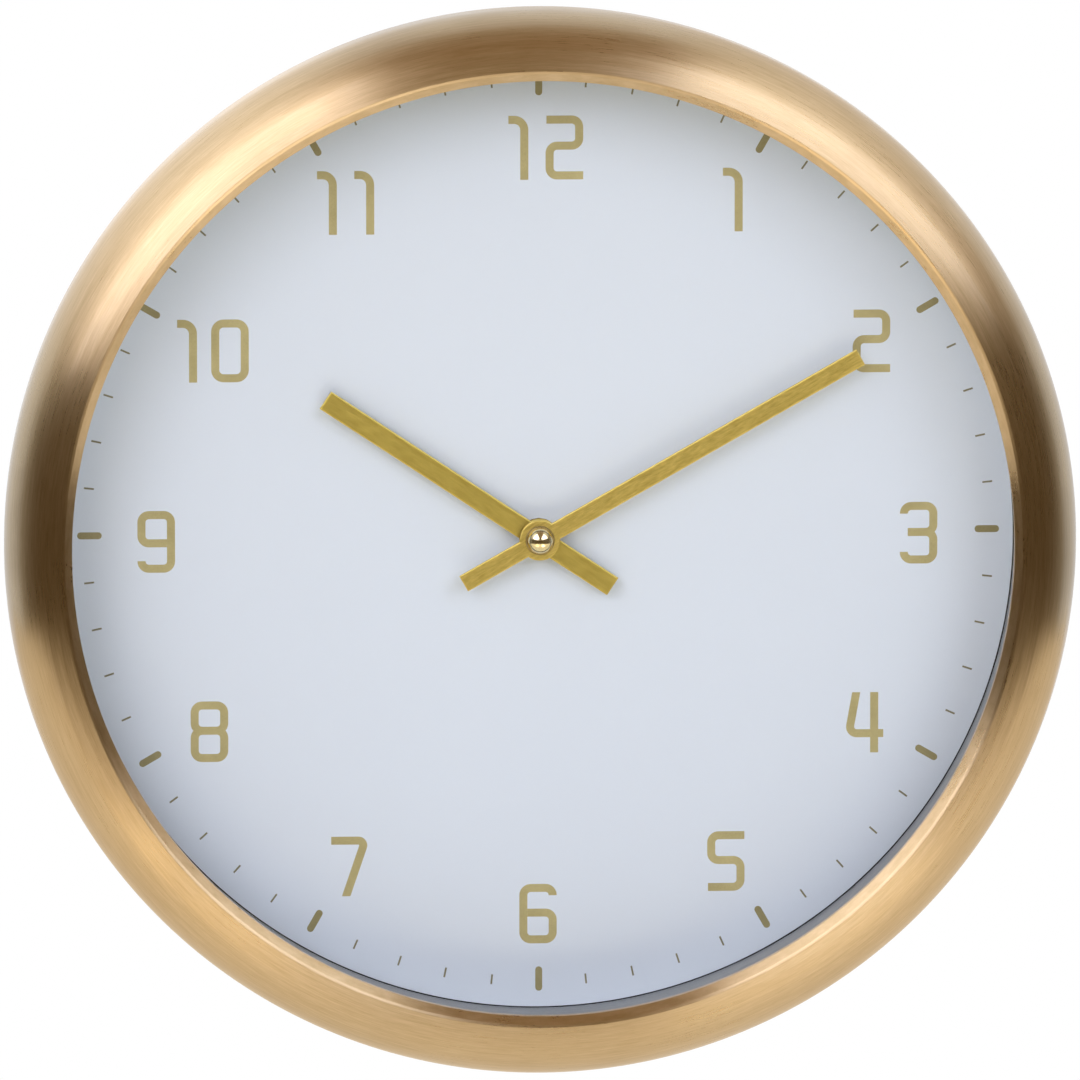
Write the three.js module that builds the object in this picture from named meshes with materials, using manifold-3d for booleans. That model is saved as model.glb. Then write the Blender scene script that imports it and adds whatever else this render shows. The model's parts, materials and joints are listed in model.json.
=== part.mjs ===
// A round quartz wall clock, 12 inches across, with a wide spun-metal bezel.
// Millimetres. Each piece is drawn in the clock's own view: x to the right, y up and z out
// from the wall towards the viewer, with z = 0 on the wall and the hands' axis at x = y = 0.
// The finished group is then stood up, with +Z up and the dial facing -Y.

import * as THREE from "three";
import { mergeVertices } from "three/addons/utils/BufferGeometryUtils.js";
import Module from "manifold-3d";

const wasm = await Module();
wasm.setup();

// Clearances
const seat = 0.3; // between pieces that rest on each other
const run = 0.2; // around a shaft in its bore
const pass = 0.4; // between wheels that pass over each other
const screwTipGap = 0.5; // a blind hole is this much deeper than its screw
const through = 1; // how far a cutter runs past the face that it cuts

// Facets
const ringSides = 52;
const shaftSides = 16;
const pinSides = 8;
const cornerSteps = 3;
const hubSteps = 5;
const rollSteps = 5;
const rollInnerSteps = 3;

// Bezel
const lipRadius = 133.7; // the clear opening
const bezelWidth = 18.8; // from the opening to the clock's rim
const sheet = 1.6; // wall of the spun metal
const lipHeight = 2.5; // flat inner edge of the lip
const lipChamferWidth = 2.2;
const lipChamferHeight = 1.8;
const crestHeight = 2; // crest in front of the lip's edge
const crestInset = 0.8; // from the chamfer's edge out to the crest
const faceWidth = 10; // from the rim in to the crease where the sloping face meets the roll
const faceDrop = 1.6; // from the crest down to that crease
const faceBulge = 0.15;
const rollWidth = 14.5; // half width of the roll's ellipse
const widestDrop = 19; // from the crest back to the widest circle
const skirtTaper = 3.6; // the skirt is this much narrower at the wall than at its widest
const skirtBelly = 0.35; // share of the taper that is reached halfway to the wall
const wallGap = 0.6; // from the bezel's rear edge to the wall

// Front stack
const lipOverlap = 4.5; // dial and lens reach this far behind the lip
const gasketInset = 0.7; // from the lip's edge to the gasket
const gasketHeight = 1;
const lensHeight = 2;
const spacerWall = 2.5; // the grey ring between lens and dial
const dialHeight = 1;
const dialDepth = 27; // from the lip's edge back to the dial's face

// Back case
const panFloor = 2;
const panWall = 2;
const flangeHeight = 2.4;
const returnGap = 1.1; // from the pan's wall to the bezel's inward return flange
const ribCount = 8;
const ribWidth = 1.6;
const ribHeight = 5;
const ribBite = 0.3; // how far a rib's inner end reaches into the pocket's wall
const pocketWall = 1.6; // low wall that keeps the movement from turning
const pocketHeight = 4;
const pocketGap = 0.6;

// Case screws
const caseScrewCount = 4;
const caseScrewHead = 2.3;
const caseScrewShank = 1.3;
const caseScrewLength = 6.4;
const headSink = 0.2; // a countersunk head lies this much below its face

// Hanger
const hangerInset = 20.5; // from the pan's wall down to the plate's centre
const hangerWidth = 36;
const hangerHeight = 26;
const hangerCorner = 3;
const hangerSheet = 1.2;
const hangerSetback = 0.6; // in front of the wall plane
const keyholeRadius = 4.5;
const slotWidth = 5;
const slotRise = 8; // from the centre of the round hole to the centre of the slot's end
const keyholeDrop = 3.5; // the round hole's centre below the plate's
const bossRadius = 3.5;
const bossSides = 12;
const bossSpan = 26;
const hangerScrewHead = 2.4;
const hangerScrewShank = 1.1;
const hangerScrewLength = 8;

// Hands
const handSheet = 0.8;
const hubRadius = 5.8;
const minuteHand = { length: 105, tail: 25, width: 5, clockwise: 60.4 };
const hourHand = { length: 73, tail: 25, width: 5.9, clockwise: 303.5 };
const hourHandLift = 3.6; // dial face to the back of the hour hand
const minuteHandLift = 6;
const capRadius = 3.6;
const capHeight = 3.6;
const capSkirt = 1.1;
const capRoof = 1.2; // metal of the cap in front of the arbor's thread

// Movement's housing
const standardSize = 56; // the housing that the tooth modules below are given for
const bodySize = 56;
const bodyDepth = 16;
const bodyCorner = 3;
const bodyWall = 1.3;
const bodyFloor = 1.2;
const coverHeight = 1.2;
const partitionWall = 1;
const postRadius = 3.6;
const postBore = 2.75;
const postThread = 0.4; // the post stands this much out of its nut
const nutFlats = 9.6;
const nutHeight = 1.6;
const washerRadius = 5.6;
const washerHeight = 0.4;
const cushionRadius = 12;
const cushionHeight = 1;
const plateHeight = 1;
const platePostRadius = 1.5;
const platePostInset = 1.8;

// Battery and its contacts
const batteryRadius = 7.25;
const batteryEdge = 0.7;
const nubRadius = 2.75;
const nubLength = 1;
const springRoom = 1.6; // from the minus contact's outer face to the cell
const contactSheet = 0.4;
const contactHalf = 5;
const contactLead = 1; // from the bay's floor to the contact's front edge
const tabWidth = 1.3;
const tabReach = 2; // how far the tab lies over the circuit board
const tabRoot = 0.9;
const notchWidth = 2.4;
const notchRoom = 2.3; // in front of the contact's tab
const springTip = 1.2;
const springFoot = 3.2;

// Gears: teeth, module (pitch diameter over teeth) and tooth form. The modules grow with the
// housing, so that the train keeps its place in it.
const moduleScale = bodySize / standardSize;
const wheelForm = { tip: 0.9, root: 1.15, share: 0.66, crest: 0.25, straight: false };
const pinionForm = { tip: 0.6, root: 1.35, share: 0.44, crest: 0.4, straight: true };
const wheelHeight = 0.7;
const pinionHeight = 1;
const layerGap = 0.15; // from one wheel's pinion to the next wheel
const motionModule = 0.6 * moduleScale;
const cannonTeeth = 8;
const minuteWheelTeeth = 24;
const minutePinionTeeth = 6;
const hourWheelTeeth = 24;
const knobTeeth = 8;
const centreModule = 0.36 * moduleScale;
const centreWheelTeeth = 48;
const thirdPinionTeeth = 6;
const thirdModule = 0.34 * moduleScale;
const thirdWheelTeeth = 45;
const fourthPinionTeeth = 6;
const fourthModule = 0.33 * moduleScale;
const fourthWheelTeeth = 30;
const intermediatePinionTeeth = 6;
const fastModule = 0.25 * moduleScale;
const intermediateWheelTeeth = 36;
const rotorPinionTeeth = 6;

// Where each arbor lies, as a direction in degrees from the one that it meshes with
const minuteWheelDirection = 150;
const knobDirection = 100;
const thirdDirection = 40;
const fourthDirection = 100;
const intermediateDirection = 10;
const rotorDirection = 10;

// Shafts
const hourPipeRadius = 2.5;
const arborRadius = 1.4;
const arborTipRadius = 1.1;
const arborTailRadius = 0.8;
const pivotRadius = 0.45;
const rotorPivotRadius = 0.35;
const studRadius = 0.55;

// Setting knob
const knobToWall = 0.8;
const knobShaftRadius = 1.3;
const knobRadius = 5.5;
const knobHeight = 2;
const knobGrips = 16;
const gripDepth = 0.4;

// Motor
const magnetRadius = 2.6;
const magnetHeight = 2.2;
const magnetGap = 0.4; // around the magnet, in the stator's hole
const coreDrop = 1; // from the intermediate wheel's face back to the coil's core
const coreWidth = 2.4;
const coreHeight = 1;
const coreOverhang = 5; // core beyond the bobbin at each end
const coreTopDrop = 1.5; // from the rotor's axis down to the core's upper end
const bobbinRadius = 3.6;
const bobbinFlange = 0.8;
const bobbinTube = 2.2;
const windingRadius = 3.2;
const coilWallGap = 0.6;
const coilToStator = 1.6;
const statorHeight = 1;
const statorRim = 1.1; // the stator's metal around the magnet's hole
const statorEdge = 2.2; // from the screws' line to the stator's outer side
const statorCorner = 2.5;
const pillarRadius = 1.9;
const statorScrewRadius = 0.8;
const statorScrewHead = 1.5;
const statorHeadHeight = 0.8;

// Circuit
const boardHeight = 1;
const boardStrip = 2.5; // the board's strip along the battery bay
const boardToCore = 0.6;
const boardLegWidth = 14.4;
const boardLegRise = 10.8; // above the strip
const boardPostRadius = 1.2;
const boardPostInset = 4;
const boardPostRise = 1.6;
const boardLegRoom = 3; // from the leg's top down to the stand behind it
const boardPostSetback = 12.9; // the right stand, from the board's right end
const chipRadius = 2.4;
const chipHeight = 0.8;
const chipInset = 8.9; // from the board's left end
const chipRise = 3.3; // above the strip
const crystalRadius = 1;
const crystalLength = 6;
const crystalRise = 8.8;

const radians = THREE.MathUtils.degToRad;
const v2 = (x, y) => new THREE.Vector2(x, y);

function polar(radius, degrees) {
  return v2(radius * Math.cos(radians(degrees)), radius * Math.sin(radians(degrees)));
}

// Heights, from the wall towards the viewer
const knobFront = knobToWall + knobHeight;
const bodyBack = knobFront + seat;
const bodyFront = bodyBack + bodyDepth;
const cushionBack = bodyFront + seat;
const cushionFront = cushionBack + cushionHeight;
const floorBack = cushionFront + seat;
const floorFront = floorBack + panFloor;
const dialBack = floorFront + seat;
const dialFront = dialBack + dialHeight;
const washerBack = dialFront + seat;
const nutBack = washerBack + washerHeight + seat;
const nutFront = nutBack + nutHeight;
const hourHandBack = dialFront + hourHandLift;
const minuteHandBack = dialFront + minuteHandLift;
const capBack = minuteHandBack + handSheet + seat;
const lipFront = dialFront + dialDepth;
const lipBack = lipFront - lipHeight;
const gasketFront = lipBack - seat;
const gasketBack = gasketFront - gasketHeight;
const lensFront = gasketBack - seat;
const lensBack = lensFront - lensHeight;
const clockDepth = lipFront + crestHeight;
const hangerFront = hangerSetback + hangerSheet;

// Heights in the movement, from its front floor back to its cover
const bodyInside = bodyFront - bodyFloor;
const pinionLead = (pinionHeight - wheelHeight) / 2;
const hourWheelFront = bodyInside - seat;
const hourWheelBack = hourWheelFront - wheelHeight;
const cannonFront = hourWheelBack - seat;
const cannonBack = cannonFront - pinionHeight;
const minuteWheelFront = cannonFront - pinionLead;
const plateFront = cannonBack - pass;
const plateBack = plateFront - plateHeight;
const layer = pinionHeight + layerGap;
const centreWheelFront = plateBack - pass;
const thirdWheelFront = centreWheelFront - layer;
const fourthWheelFront = thirdWheelFront - layer;
const intermediateWheelFront = fourthWheelFront - layer;
const magnetFront = intermediateWheelFront - wheelHeight - pinionLead - seat;
const coreFront = intermediateWheelFront - coreDrop;
const coreBack = coreFront - coreHeight;
const statorFront = coreBack - seat;
const statorBack = statorFront - statorHeight;
const boardBack = statorFront - boardHeight;
const contactBack = boardBack - seat - contactSheet;
const coverFront = bodyBack + coverHeight;

// Arbors
const pitch = (teeth, module) => (teeth * module) / 2;
const reach = (a, b, module) => pitch(a, module) + pitch(b, module);
const beside = (at, distance, direction) => at.clone().add(polar(distance, direction));
const motionReach = reach(cannonTeeth, minuteWheelTeeth, motionModule);
const hourModule = (2 * motionReach) / (minutePinionTeeth + hourWheelTeeth);
const knobReach = reach(knobTeeth, minuteWheelTeeth, motionModule);
const thirdReach = reach(centreWheelTeeth, thirdPinionTeeth, centreModule);
const fourthReach = reach(thirdWheelTeeth, fourthPinionTeeth, thirdModule);
const intermediateReach = reach(fourthWheelTeeth, intermediatePinionTeeth, fourthModule);
const rotorReach = reach(intermediateWheelTeeth, rotorPinionTeeth, fastModule);

const centre = v2(0, 0);
const minuteWheelAt = polar(motionReach, minuteWheelDirection);
const knobAt = beside(minuteWheelAt, knobReach, knobDirection);
const thirdAt = polar(thirdReach, thirdDirection);
const fourthAt = beside(thirdAt, fourthReach, fourthDirection);
const intermediateAt = beside(fourthAt, intermediateReach, intermediateDirection);
const rotorAt = beside(intermediateAt, rotorReach, rotorDirection);
const trainArbors = [thirdAt, fourthAt, intermediateAt, rotorAt];

// Materials
function finish(color, roughness, metalness) {
  return new THREE.MeshStandardMaterial({ color, roughness, metalness });
}

const brushedGold = finish(0xb08f55, 0.35, 1);
const handGold = finish(0xae9845, 0.4, 1);
const polishedBrass = finish(0xd9bf73, 0.1, 1);
const brass = finish(0xb9a05a, 0.3, 1);
const steel = finish(0xa8abae, 0.35, 1);
const copper = finish(0xa8552e, 0.4, 0.8);
const magnetGrey = finish(0x44464a, 0.45, 0.7);
const dialWhite = finish(0xd6dce8, 0.6, 0);
const ringGrey = finish(0x8a8e94, 0.55, 0);
const blackPlastic = finish(0x1c1c1e, 0.5, 0);
const bodyPlastic = finish(0x2a2b2e, 0.45, 0);
const whitePlastic = finish(0xe4e2da, 0.45, 0);
const boardGreen = finish(0x2f5a3a, 0.6, 0);
const rubberBlack = finish(0x17171a, 0.8, 0);
const batteryBlue = finish(0x3c4a63, 0.35, 0.2);
const glassClear = new THREE.MeshStandardMaterial({
  color: 0xf2f6f6,
  roughness: 0.02,
  metalness: 0,
  transparent: true,
  opacity: 0.12,
});

const clock = new THREE.Group();

function place(name, geometry, material) {
  geometry.computeVertexNormals();
  const piece = new THREE.Mesh(geometry, material);
  piece.name = name;
  clock.add(piece);
  return piece;
}

function turned(name, geometry, material, at, turn) {
  const piece = place(name, geometry, material);
  piece.position.set(at.x, at.y, 0);
  piece.rotation.z = turn;
}

// Solids: cutting and joining

function toSolid(geometry) {
  const bare = geometry.clone();
  bare.deleteAttribute("normal");
  bare.deleteAttribute("uv");
  const merged = mergeVertices(bare, 1e-4);
  const index = Array.from(merged.index.array);
  const triangles = [];
  for (let i = 0; i < index.length; i += 3) {
    const [a, b, c] = index.slice(i, i + 3);
    if (a !== b && b !== c && c !== a) triangles.push(a, b, c);
  }
  return new wasm.Manifold(
    new wasm.Mesh({
      numProp: 3,
      vertProperties: new Float32Array(merged.attributes.position.array),
      triVerts: new Uint32Array(triangles),
    }),
  );
}

function toGeometry(solid) {
  const { vertProperties, triVerts } = solid.getMesh();
  const geometry = new THREE.BufferGeometry();
  geometry.setAttribute("position", new THREE.BufferAttribute(vertProperties, 3));
  geometry.setIndex(new THREE.BufferAttribute(triVerts, 1));
  return geometry;
}

const join = (...parts) => toGeometry(parts.map(toSolid).reduce((a, b) => a.add(b)));
const cut = (body, ...tools) => toGeometry(tools.map(toSolid).reduce((a, b) => a.subtract(b), toSolid(body)));

// Forms

// Revolves a closed outline of [radius, z] points about the z axis through a point.
function revolve(outline, sides = ringSides, at = centre) {
  const points = outline.map(([radius, z]) => v2(radius, z));
  if (THREE.ShapeUtils.isClockWise(points)) points.reverse();
  const geometry = new THREE.LatheGeometry([...points, points[0].clone()], sides);
  return geometry.rotateX(Math.PI / 2).translate(at.x, at.y, 0);
}

function ring(inner, outer, low, high, sides = ringSides) {
  const section = [
    [inner, low],
    [outer, low],
    [outer, high],
    [inner, high],
  ];
  return revolve(section, sides);
}

function rod(radius, low, high, at = centre, sides = shaftSides) {
  const geometry = new THREE.CylinderGeometry(radius, radius, high - low, sides);
  return geometry.rotateX(Math.PI / 2).translate(at.x, at.y, (low + high) / 2);
}

function extrude(shape, low, high, curveSegments = cornerSteps) {
  const options = { depth: high - low, bevelEnabled: false, curveSegments };
  return new THREE.ExtrudeGeometry(shape, options).translate(0, 0, low);
}

function block(xs, ys, zs) {
  const geometry = new THREE.BoxGeometry(xs[1] - xs[0], ys[1] - ys[0], zs[1] - zs[0]);
  return geometry.translate((xs[0] + xs[1]) / 2, (ys[0] + ys[1]) / 2, (zs[0] + zs[1]) / 2);
}

const circle = (radius, sides) => Array.from({ length: sides }, (_, i) => polar(radius, (360 * i) / sides));
const outlineShape = (corners) => new THREE.Shape(corners.map(([x, y]) => v2(x, y)));

// The given outline with a round hole at the axis.
function bored(outline, bore, sides = shaftSides) {
  outline.holes.push(new THREE.Path(circle(bore, sides)));
  return outline;
}

function roundedRect(xs, ys, corner) {
  const shape = new THREE.Shape();
  shape.moveTo(xs[0] + corner, ys[0]);
  shape.absarc(xs[1] - corner, ys[0] + corner, corner, -Math.PI / 2, 0);
  shape.absarc(xs[1] - corner, ys[1] - corner, corner, 0, Math.PI / 2);
  shape.absarc(xs[0] + corner, ys[1] - corner, corner, Math.PI / 2, Math.PI);
  shape.absarc(xs[0] + corner, ys[0] + corner, corner, Math.PI, 1.5 * Math.PI);
  return shape;
}

const squareShape = (half, corner) => roundedRect([-half, half], [-half, half], corner);

// A countersunk screw along z, its head at the low end; extra makes the cutter for its hole.
function countersunk(head, shank, low, length, at, extra = 0) {
  const section = [
    [0, low - 2 * extra],
    [head + extra, low - 2 * extra],
    [head + extra, low],
    [shank + extra, low + head - shank],
    [shank + extra, low + length + extra],
    [0, low + length + extra],
  ];
  return revolve(section, pinSides, at);
}

// Bezel

const clockRadius = lipRadius + bezelWidth;
const creaseRadius = clockRadius - faceWidth;
const creaseFront = clockDepth - faceDrop;
const rollCentre = clockRadius - rollWidth;
const bevelFoot = lipRadius + lipChamferWidth;
const bevelFootFront = lipFront + lipChamferHeight;
const crestRadius = bevelFoot + crestInset;
const widestHeight = clockDepth - widestDrop;
const rollStart = Math.acos((creaseRadius - rollCentre) / rollWidth);
const rollDepth = (creaseFront - widestHeight) / Math.sin(rollStart);
const skirtOutside = clockRadius - skirtTaper;
const skirtInside = skirtOutside - sheet;
const skirtMiddle = clockRadius - skirtBelly * skirtTaper;
const stackRadius = lipRadius + lipOverlap;
const panInside = stackRadius + seat;
const panOutside = panInside + panWall;
const returnInside = panOutside + returnGap;
const hangerCentre = panInside - hangerInset; // above the hands' axis
const returnBack = flangeHeight + seat;
const returnFront = returnBack + sheet;
const caseScrewRing = (skirtInside + returnInside) / 2;
const caseScrewPlaces = Array.from({ length: caseScrewCount }, (_, i) =>
  polar(caseScrewRing, 90 + (360 * (i + 0.5)) / caseScrewCount),
);

// Part of an ellipse between the crease and the widest circle, in angles from the latter.
function rollPoints(inset, from, to, steps) {
  const width = rollWidth - inset;
  const depth = rollDepth - inset;
  const points = [];
  for (let i = 0; i <= steps; i += 1) {
    const turn = from + ((to - from) * i) / steps;
    points.push([rollCentre + width * Math.cos(turn), widestHeight + depth * Math.sin(turn)]);
  }
  return points;
}

function bezelGeometry() {
  const section = [
    [lipRadius, lipBack],
    [lipRadius, lipFront],
    [bevelFoot, bevelFootFront],
    [crestRadius, clockDepth],
    [(crestRadius + creaseRadius) / 2, (clockDepth + creaseFront) / 2 + faceBulge],
    ...rollPoints(0, rollStart, 0, rollSteps),
    [skirtMiddle, widestHeight / 2],
    [skirtOutside, wallGap],
    [skirtInside, wallGap],
    [skirtInside, returnBack],
    [returnInside, returnBack],
    [returnInside, returnFront],
    [skirtInside, returnFront],
    [skirtMiddle - sheet, widestHeight / 2],
    ...rollPoints(sheet, 0, rollStart, rollInnerSteps),
    [panOutside, lipBack],
  ];
  const holes = caseScrewPlaces.map((at) =>
    rod(caseScrewShank + run, returnBack - seat, returnFront + seat, at, pinSides),
  );
  return cut(revolve(section), ...holes);
}

place("bezel", bezelGeometry(), brushedGold);

// Front stack: gasket, lens, spacer ring and dial

place("lens_gasket", ring(lipRadius + gasketInset, stackRadius, gasketBack, gasketFront), rubberBlack);
place("lens", rod(stackRadius, lensBack, lensFront, centre, ringSides), glassClear);
place("inner_ring", ring(stackRadius - spacerWall, stackRadius, dialFront + seat, lensBack - seat), ringGrey);

const dialDisc = bored(new THREE.Shape(circle(stackRadius, ringSides)), postRadius + seat);
place("dial", extrude(dialDisc, dialBack, dialFront), dialWhite);

// Back case

const flangeOutside = skirtInside - seat;
const pocketInside = bodySize / 2 + pocketGap;
const pocketOutside = pocketInside + pocketWall;
const floorMiddle = floorBack + panFloor / 2;
const bossPlaces = [-1, 1].map((side) => v2((side * bossSpan) / 2, hangerCentre));

// The ribs stand half a step off the axes, so that they run from the pocket's sides to the rim.
function ribGeometry(index) {
  const step = (2 * Math.PI) / ribCount;
  const start = (pocketOutside - ribBite) / Math.cos(step / 2);
  const end = panInside + panWall / 2;
  const rib = block([start, end], [-ribWidth / 2, ribWidth / 2], [floorBack - ribHeight, floorMiddle]);
  return rib.rotateZ(step * (index + 0.5));
}

function pocketGeometry() {
  const wall = squareShape(pocketOutside, bodyCorner + pocketWall);
  wall.holes.push(squareShape(pocketInside, bodyCorner));
  return extrude(wall, floorBack - pocketHeight, floorMiddle);
}

function backCaseGeometry() {
  const pan = revolve([
    [postRadius + seat, floorBack],
    [panInside, floorBack],
    [panInside, 0],
    [flangeOutside, 0],
    [flangeOutside, flangeHeight],
    [panOutside, flangeHeight],
    [panOutside, gasketFront],
    [panInside, gasketFront],
    [panInside, floorFront],
    [postRadius + seat, floorFront],
  ]);
  const ribs = Array.from({ length: ribCount }, (_, i) => ribGeometry(i));
  const bosses = bossPlaces.map((at) => rod(bossRadius, hangerFront + seat, floorMiddle, at, bossSides));
  const flangeHoles = caseScrewPlaces.map((at) =>
    countersunk(caseScrewHead, caseScrewShank, headSink, caseScrewLength, at, run),
  );
  const bossHoleEnd = hangerSetback + hangerScrewLength + screwTipGap;
  const bossHoles = bossPlaces.map((at) => rod(hangerScrewShank + run, 0, bossHoleEnd, at, pinSides));
  return cut(join(pan, pocketGeometry(), ...ribs, ...bosses), ...flangeHoles, ...bossHoles);
}

place("back_case", backCaseGeometry(), blackPlastic);

caseScrewPlaces.forEach((at, i) => {
  const screw = countersunk(caseScrewHead, caseScrewShank, headSink, caseScrewLength, at);
  place(`case_screw_${i + 1}`, screw, steel);
});

// Keyhole hanger

const slotLow = hangerCentre - keyholeDrop;
const slotHigh = slotLow + slotRise;

function hangerPlateGeometry() {
  const half = hangerWidth / 2;
  const ys = [hangerCentre - hangerHeight / 2, hangerCentre + hangerHeight / 2];
  const plate = roundedRect([-half, half], ys, hangerCorner);
  const sideAngle = Math.acos(slotWidth / 2 / keyholeRadius);
  const keyhole = new THREE.Path();
  keyhole.absarc(0, slotHigh, slotWidth / 2, 0, Math.PI);
  keyhole.absarc(0, slotLow, keyholeRadius, Math.PI - sideAngle, sideAngle + 2 * Math.PI);
  plate.holes.push(keyhole);
  const holes = bossPlaces.map((at) =>
    countersunk(hangerScrewHead, hangerScrewShank, hangerSetback, hangerScrewLength, at, run),
  );
  return cut(extrude(plate, hangerSetback, hangerFront), ...holes);
}

place("hanger_plate", hangerPlateGeometry(), steel);

bossPlaces.forEach((at, i) => {
  const screw = countersunk(hangerScrewHead, hangerScrewShank, hangerSetback, hangerScrewLength, at);
  place(`hanger_screw_${i + 1}`, screw, steel);
});

// Gears

// A pinion's leaf has radial flanks up to the pitch circle and narrows to its crest above it.
// A wheel's tooth, with many more of them, narrows all the way from its root.
function gearShape(teeth, module, form, bore = 0) {
  const radius = pitch(teeth, module);
  const root = radius - form.root * module;
  const tip = radius + form.tip * module;
  const half = (Math.PI * form.share) / teeth;
  const crest = half * form.crest;
  const flank = form.straight ? [radius] : [];
  const corners = [
    [root, -half],
    ...flank.map((r) => [r, -half]),
    [tip, -crest],
    [tip, crest],
    ...flank.map((r) => [r, half]),
    [root, half],
  ];
  const points = [];
  for (let tooth = 0; tooth < teeth; tooth += 1) {
    const middle = (2 * Math.PI * tooth) / teeth;
    for (const [r, turn] of corners) {
      points.push(v2(r * Math.cos(middle + turn), r * Math.sin(middle + turn)));
    }
  }
  const shape = new THREE.Shape(points);
  return bore > 0 ? bored(shape, bore) : shape;
}

// The turn, in radians, that puts a gear's gap against its neighbour's tooth.
function meshTurn(teeth, neighbourTeeth, neighbourTurn, direction) {
  const toNeighbour = radians(direction + 180);
  const spacing = (2 * Math.PI) / neighbourTeeth;
  const offset = (radians(direction) - neighbourTurn) / spacing;
  const offCentre = (offset - Math.round(offset)) * spacing;
  return toNeighbour + (offCentre * neighbourTeeth) / teeth + Math.PI / teeth;
}

const wheel = (teeth, module, front, bore) =>
  extrude(gearShape(teeth, module, wheelForm, bore), front - wheelHeight, front);
const pinion = (teeth, module, low, high, bore) =>
  extrude(gearShape(teeth, module, pinionForm, bore), low, high);

// Motion work: cannon pinion, minute wheel, hour wheel and setting knob

const cannonTurn = radians(minuteWheelDirection);
const minuteWheelTurn = meshTurn(minuteWheelTeeth, cannonTeeth, cannonTurn, minuteWheelDirection);
const hourWheelTurn = meshTurn(
  hourWheelTeeth,
  minutePinionTeeth,
  minuteWheelTurn,
  minuteWheelDirection + 180,
);
const knobTurn = meshTurn(knobTeeth, minuteWheelTeeth, minuteWheelTurn, knobDirection);
const arborTip = capBack + capHeight - capRoof - seat;
const arborTail = bodyBack + seat;
const journalRadius = arborRadius - run;

function minuteArborGeometry() {
  const journalBack = thirdWheelFront + pinionLead;
  const cannonMiddle = (cannonBack + cannonFront) / 2;
  const shoulder = minuteHandBack - seat;
  const section = [
    [0, arborTail],
    [arborTailRadius, arborTail],
    [arborTailRadius, journalBack],
    [journalRadius, journalBack],
    [journalRadius, cannonMiddle],
    [arborRadius, cannonMiddle],
    [arborRadius, shoulder],
    [arborTipRadius, shoulder],
    [arborTipRadius, arborTip],
    [0, arborTip],
  ];
  return join(revolve(section, shaftSides), pinion(cannonTeeth, motionModule, cannonBack, cannonFront));
}

turned("minute_arbor", minuteArborGeometry(), brass, centre, cannonTurn);

function minuteWheelGeometry() {
  const bore = studRadius + run;
  const low = minuteWheelFront - wheelHeight;
  const leaves = pinion(minutePinionTeeth, hourModule, low, hourWheelFront, bore);
  return join(wheel(minuteWheelTeeth, motionModule, minuteWheelFront, bore), leaves);
}

turned("minute_wheel", minuteWheelGeometry(), whitePlastic, minuteWheelAt, minuteWheelTurn);

function hourWheelGeometry() {
  const bore = arborRadius + run;
  const pipeTip = hourHandBack + handSheet + seat;
  const pipe = ring(bore, hourPipeRadius, hourWheelBack, pipeTip, shaftSides);
  return join(wheel(hourWheelTeeth, hourModule, hourWheelFront, (bore + hourPipeRadius) / 2), pipe);
}

turned("hour_wheel", hourWheelGeometry(), whitePlastic, centre, hourWheelTurn);

function settingKnobGeometry() {
  const grip = circle(knobRadius, 2 * knobGrips);
  grip.forEach((point, i) => {
    if (i % 2) point.setLength(knobRadius - gripDepth);
  });
  const disc = extrude(new THREE.Shape(grip), knobToWall, knobFront);
  const shaft = rod(knobShaftRadius, knobToWall + knobHeight / 2, hourWheelFront);
  return join(disc, shaft, pinion(knobTeeth, motionModule, cannonBack, cannonFront));
}

turned("setting_knob", settingKnobGeometry(), whitePlastic, knobAt, knobTurn);

// Going train: each wheel shares its arbor with the pinion that drives it

const pivotFront = plateFront - seat;
const pivotBack = bodyBack + seat;
const centreWheelTurn = radians(thirdDirection);
const thirdTurn = meshTurn(thirdPinionTeeth, centreWheelTeeth, centreWheelTurn, thirdDirection);
const fourthTurn = meshTurn(fourthPinionTeeth, thirdWheelTeeth, thirdTurn, fourthDirection);
const intermediateTurn = meshTurn(
  intermediatePinionTeeth,
  fourthWheelTeeth,
  fourthTurn,
  intermediateDirection,
);
const rotorTurn = meshTurn(rotorPinionTeeth, intermediateWheelTeeth, intermediateTurn, rotorDirection);

turned(
  "centre_wheel",
  wheel(centreWheelTeeth, centreModule, centreWheelFront, journalRadius + run),
  whitePlastic,
  centre,
  centreWheelTurn,
);

// The pinion lies in the layer in front of its wheel, and a thin spindle carries both.
function trainPiece(wheelTeeth, wheelModule, wheelFront, pinionTeeth, pinionModule) {
  const leavesFront = wheelFront + layer + pinionLead;
  const leaves = pinion(pinionTeeth, pinionModule, wheelFront - wheelHeight / 2, leavesFront);
  const spindle = rod(pivotRadius, pivotBack, pivotFront, centre, pinSides);
  return join(wheel(wheelTeeth, wheelModule, wheelFront), leaves, spindle);
}

turned(
  "third_wheel",
  trainPiece(thirdWheelTeeth, thirdModule, thirdWheelFront, thirdPinionTeeth, centreModule),
  whitePlastic,
  thirdAt,
  thirdTurn,
);
turned(
  "fourth_wheel",
  trainPiece(fourthWheelTeeth, fourthModule, fourthWheelFront, fourthPinionTeeth, thirdModule),
  whitePlastic,
  fourthAt,
  fourthTurn,
);
turned(
  "intermediate_wheel",
  trainPiece(
    intermediateWheelTeeth,
    fastModule,
    intermediateWheelFront,
    intermediatePinionTeeth,
    fourthModule,
  ),
  whitePlastic,
  intermediateAt,
  intermediateTurn,
);

function rotorGeometry() {
  const leavesFront = intermediateWheelFront + pinionLead;
  const leaves = pinion(rotorPinionTeeth, fastModule, leavesFront - pinionHeight, leavesFront);
  const magnet = rod(magnetRadius, magnetFront - magnetHeight, magnetFront);
  const spindle = rod(rotorPivotRadius, pivotBack, pivotFront, centre, pinSides);
  return join(leaves, magnet, spindle);
}

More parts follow.
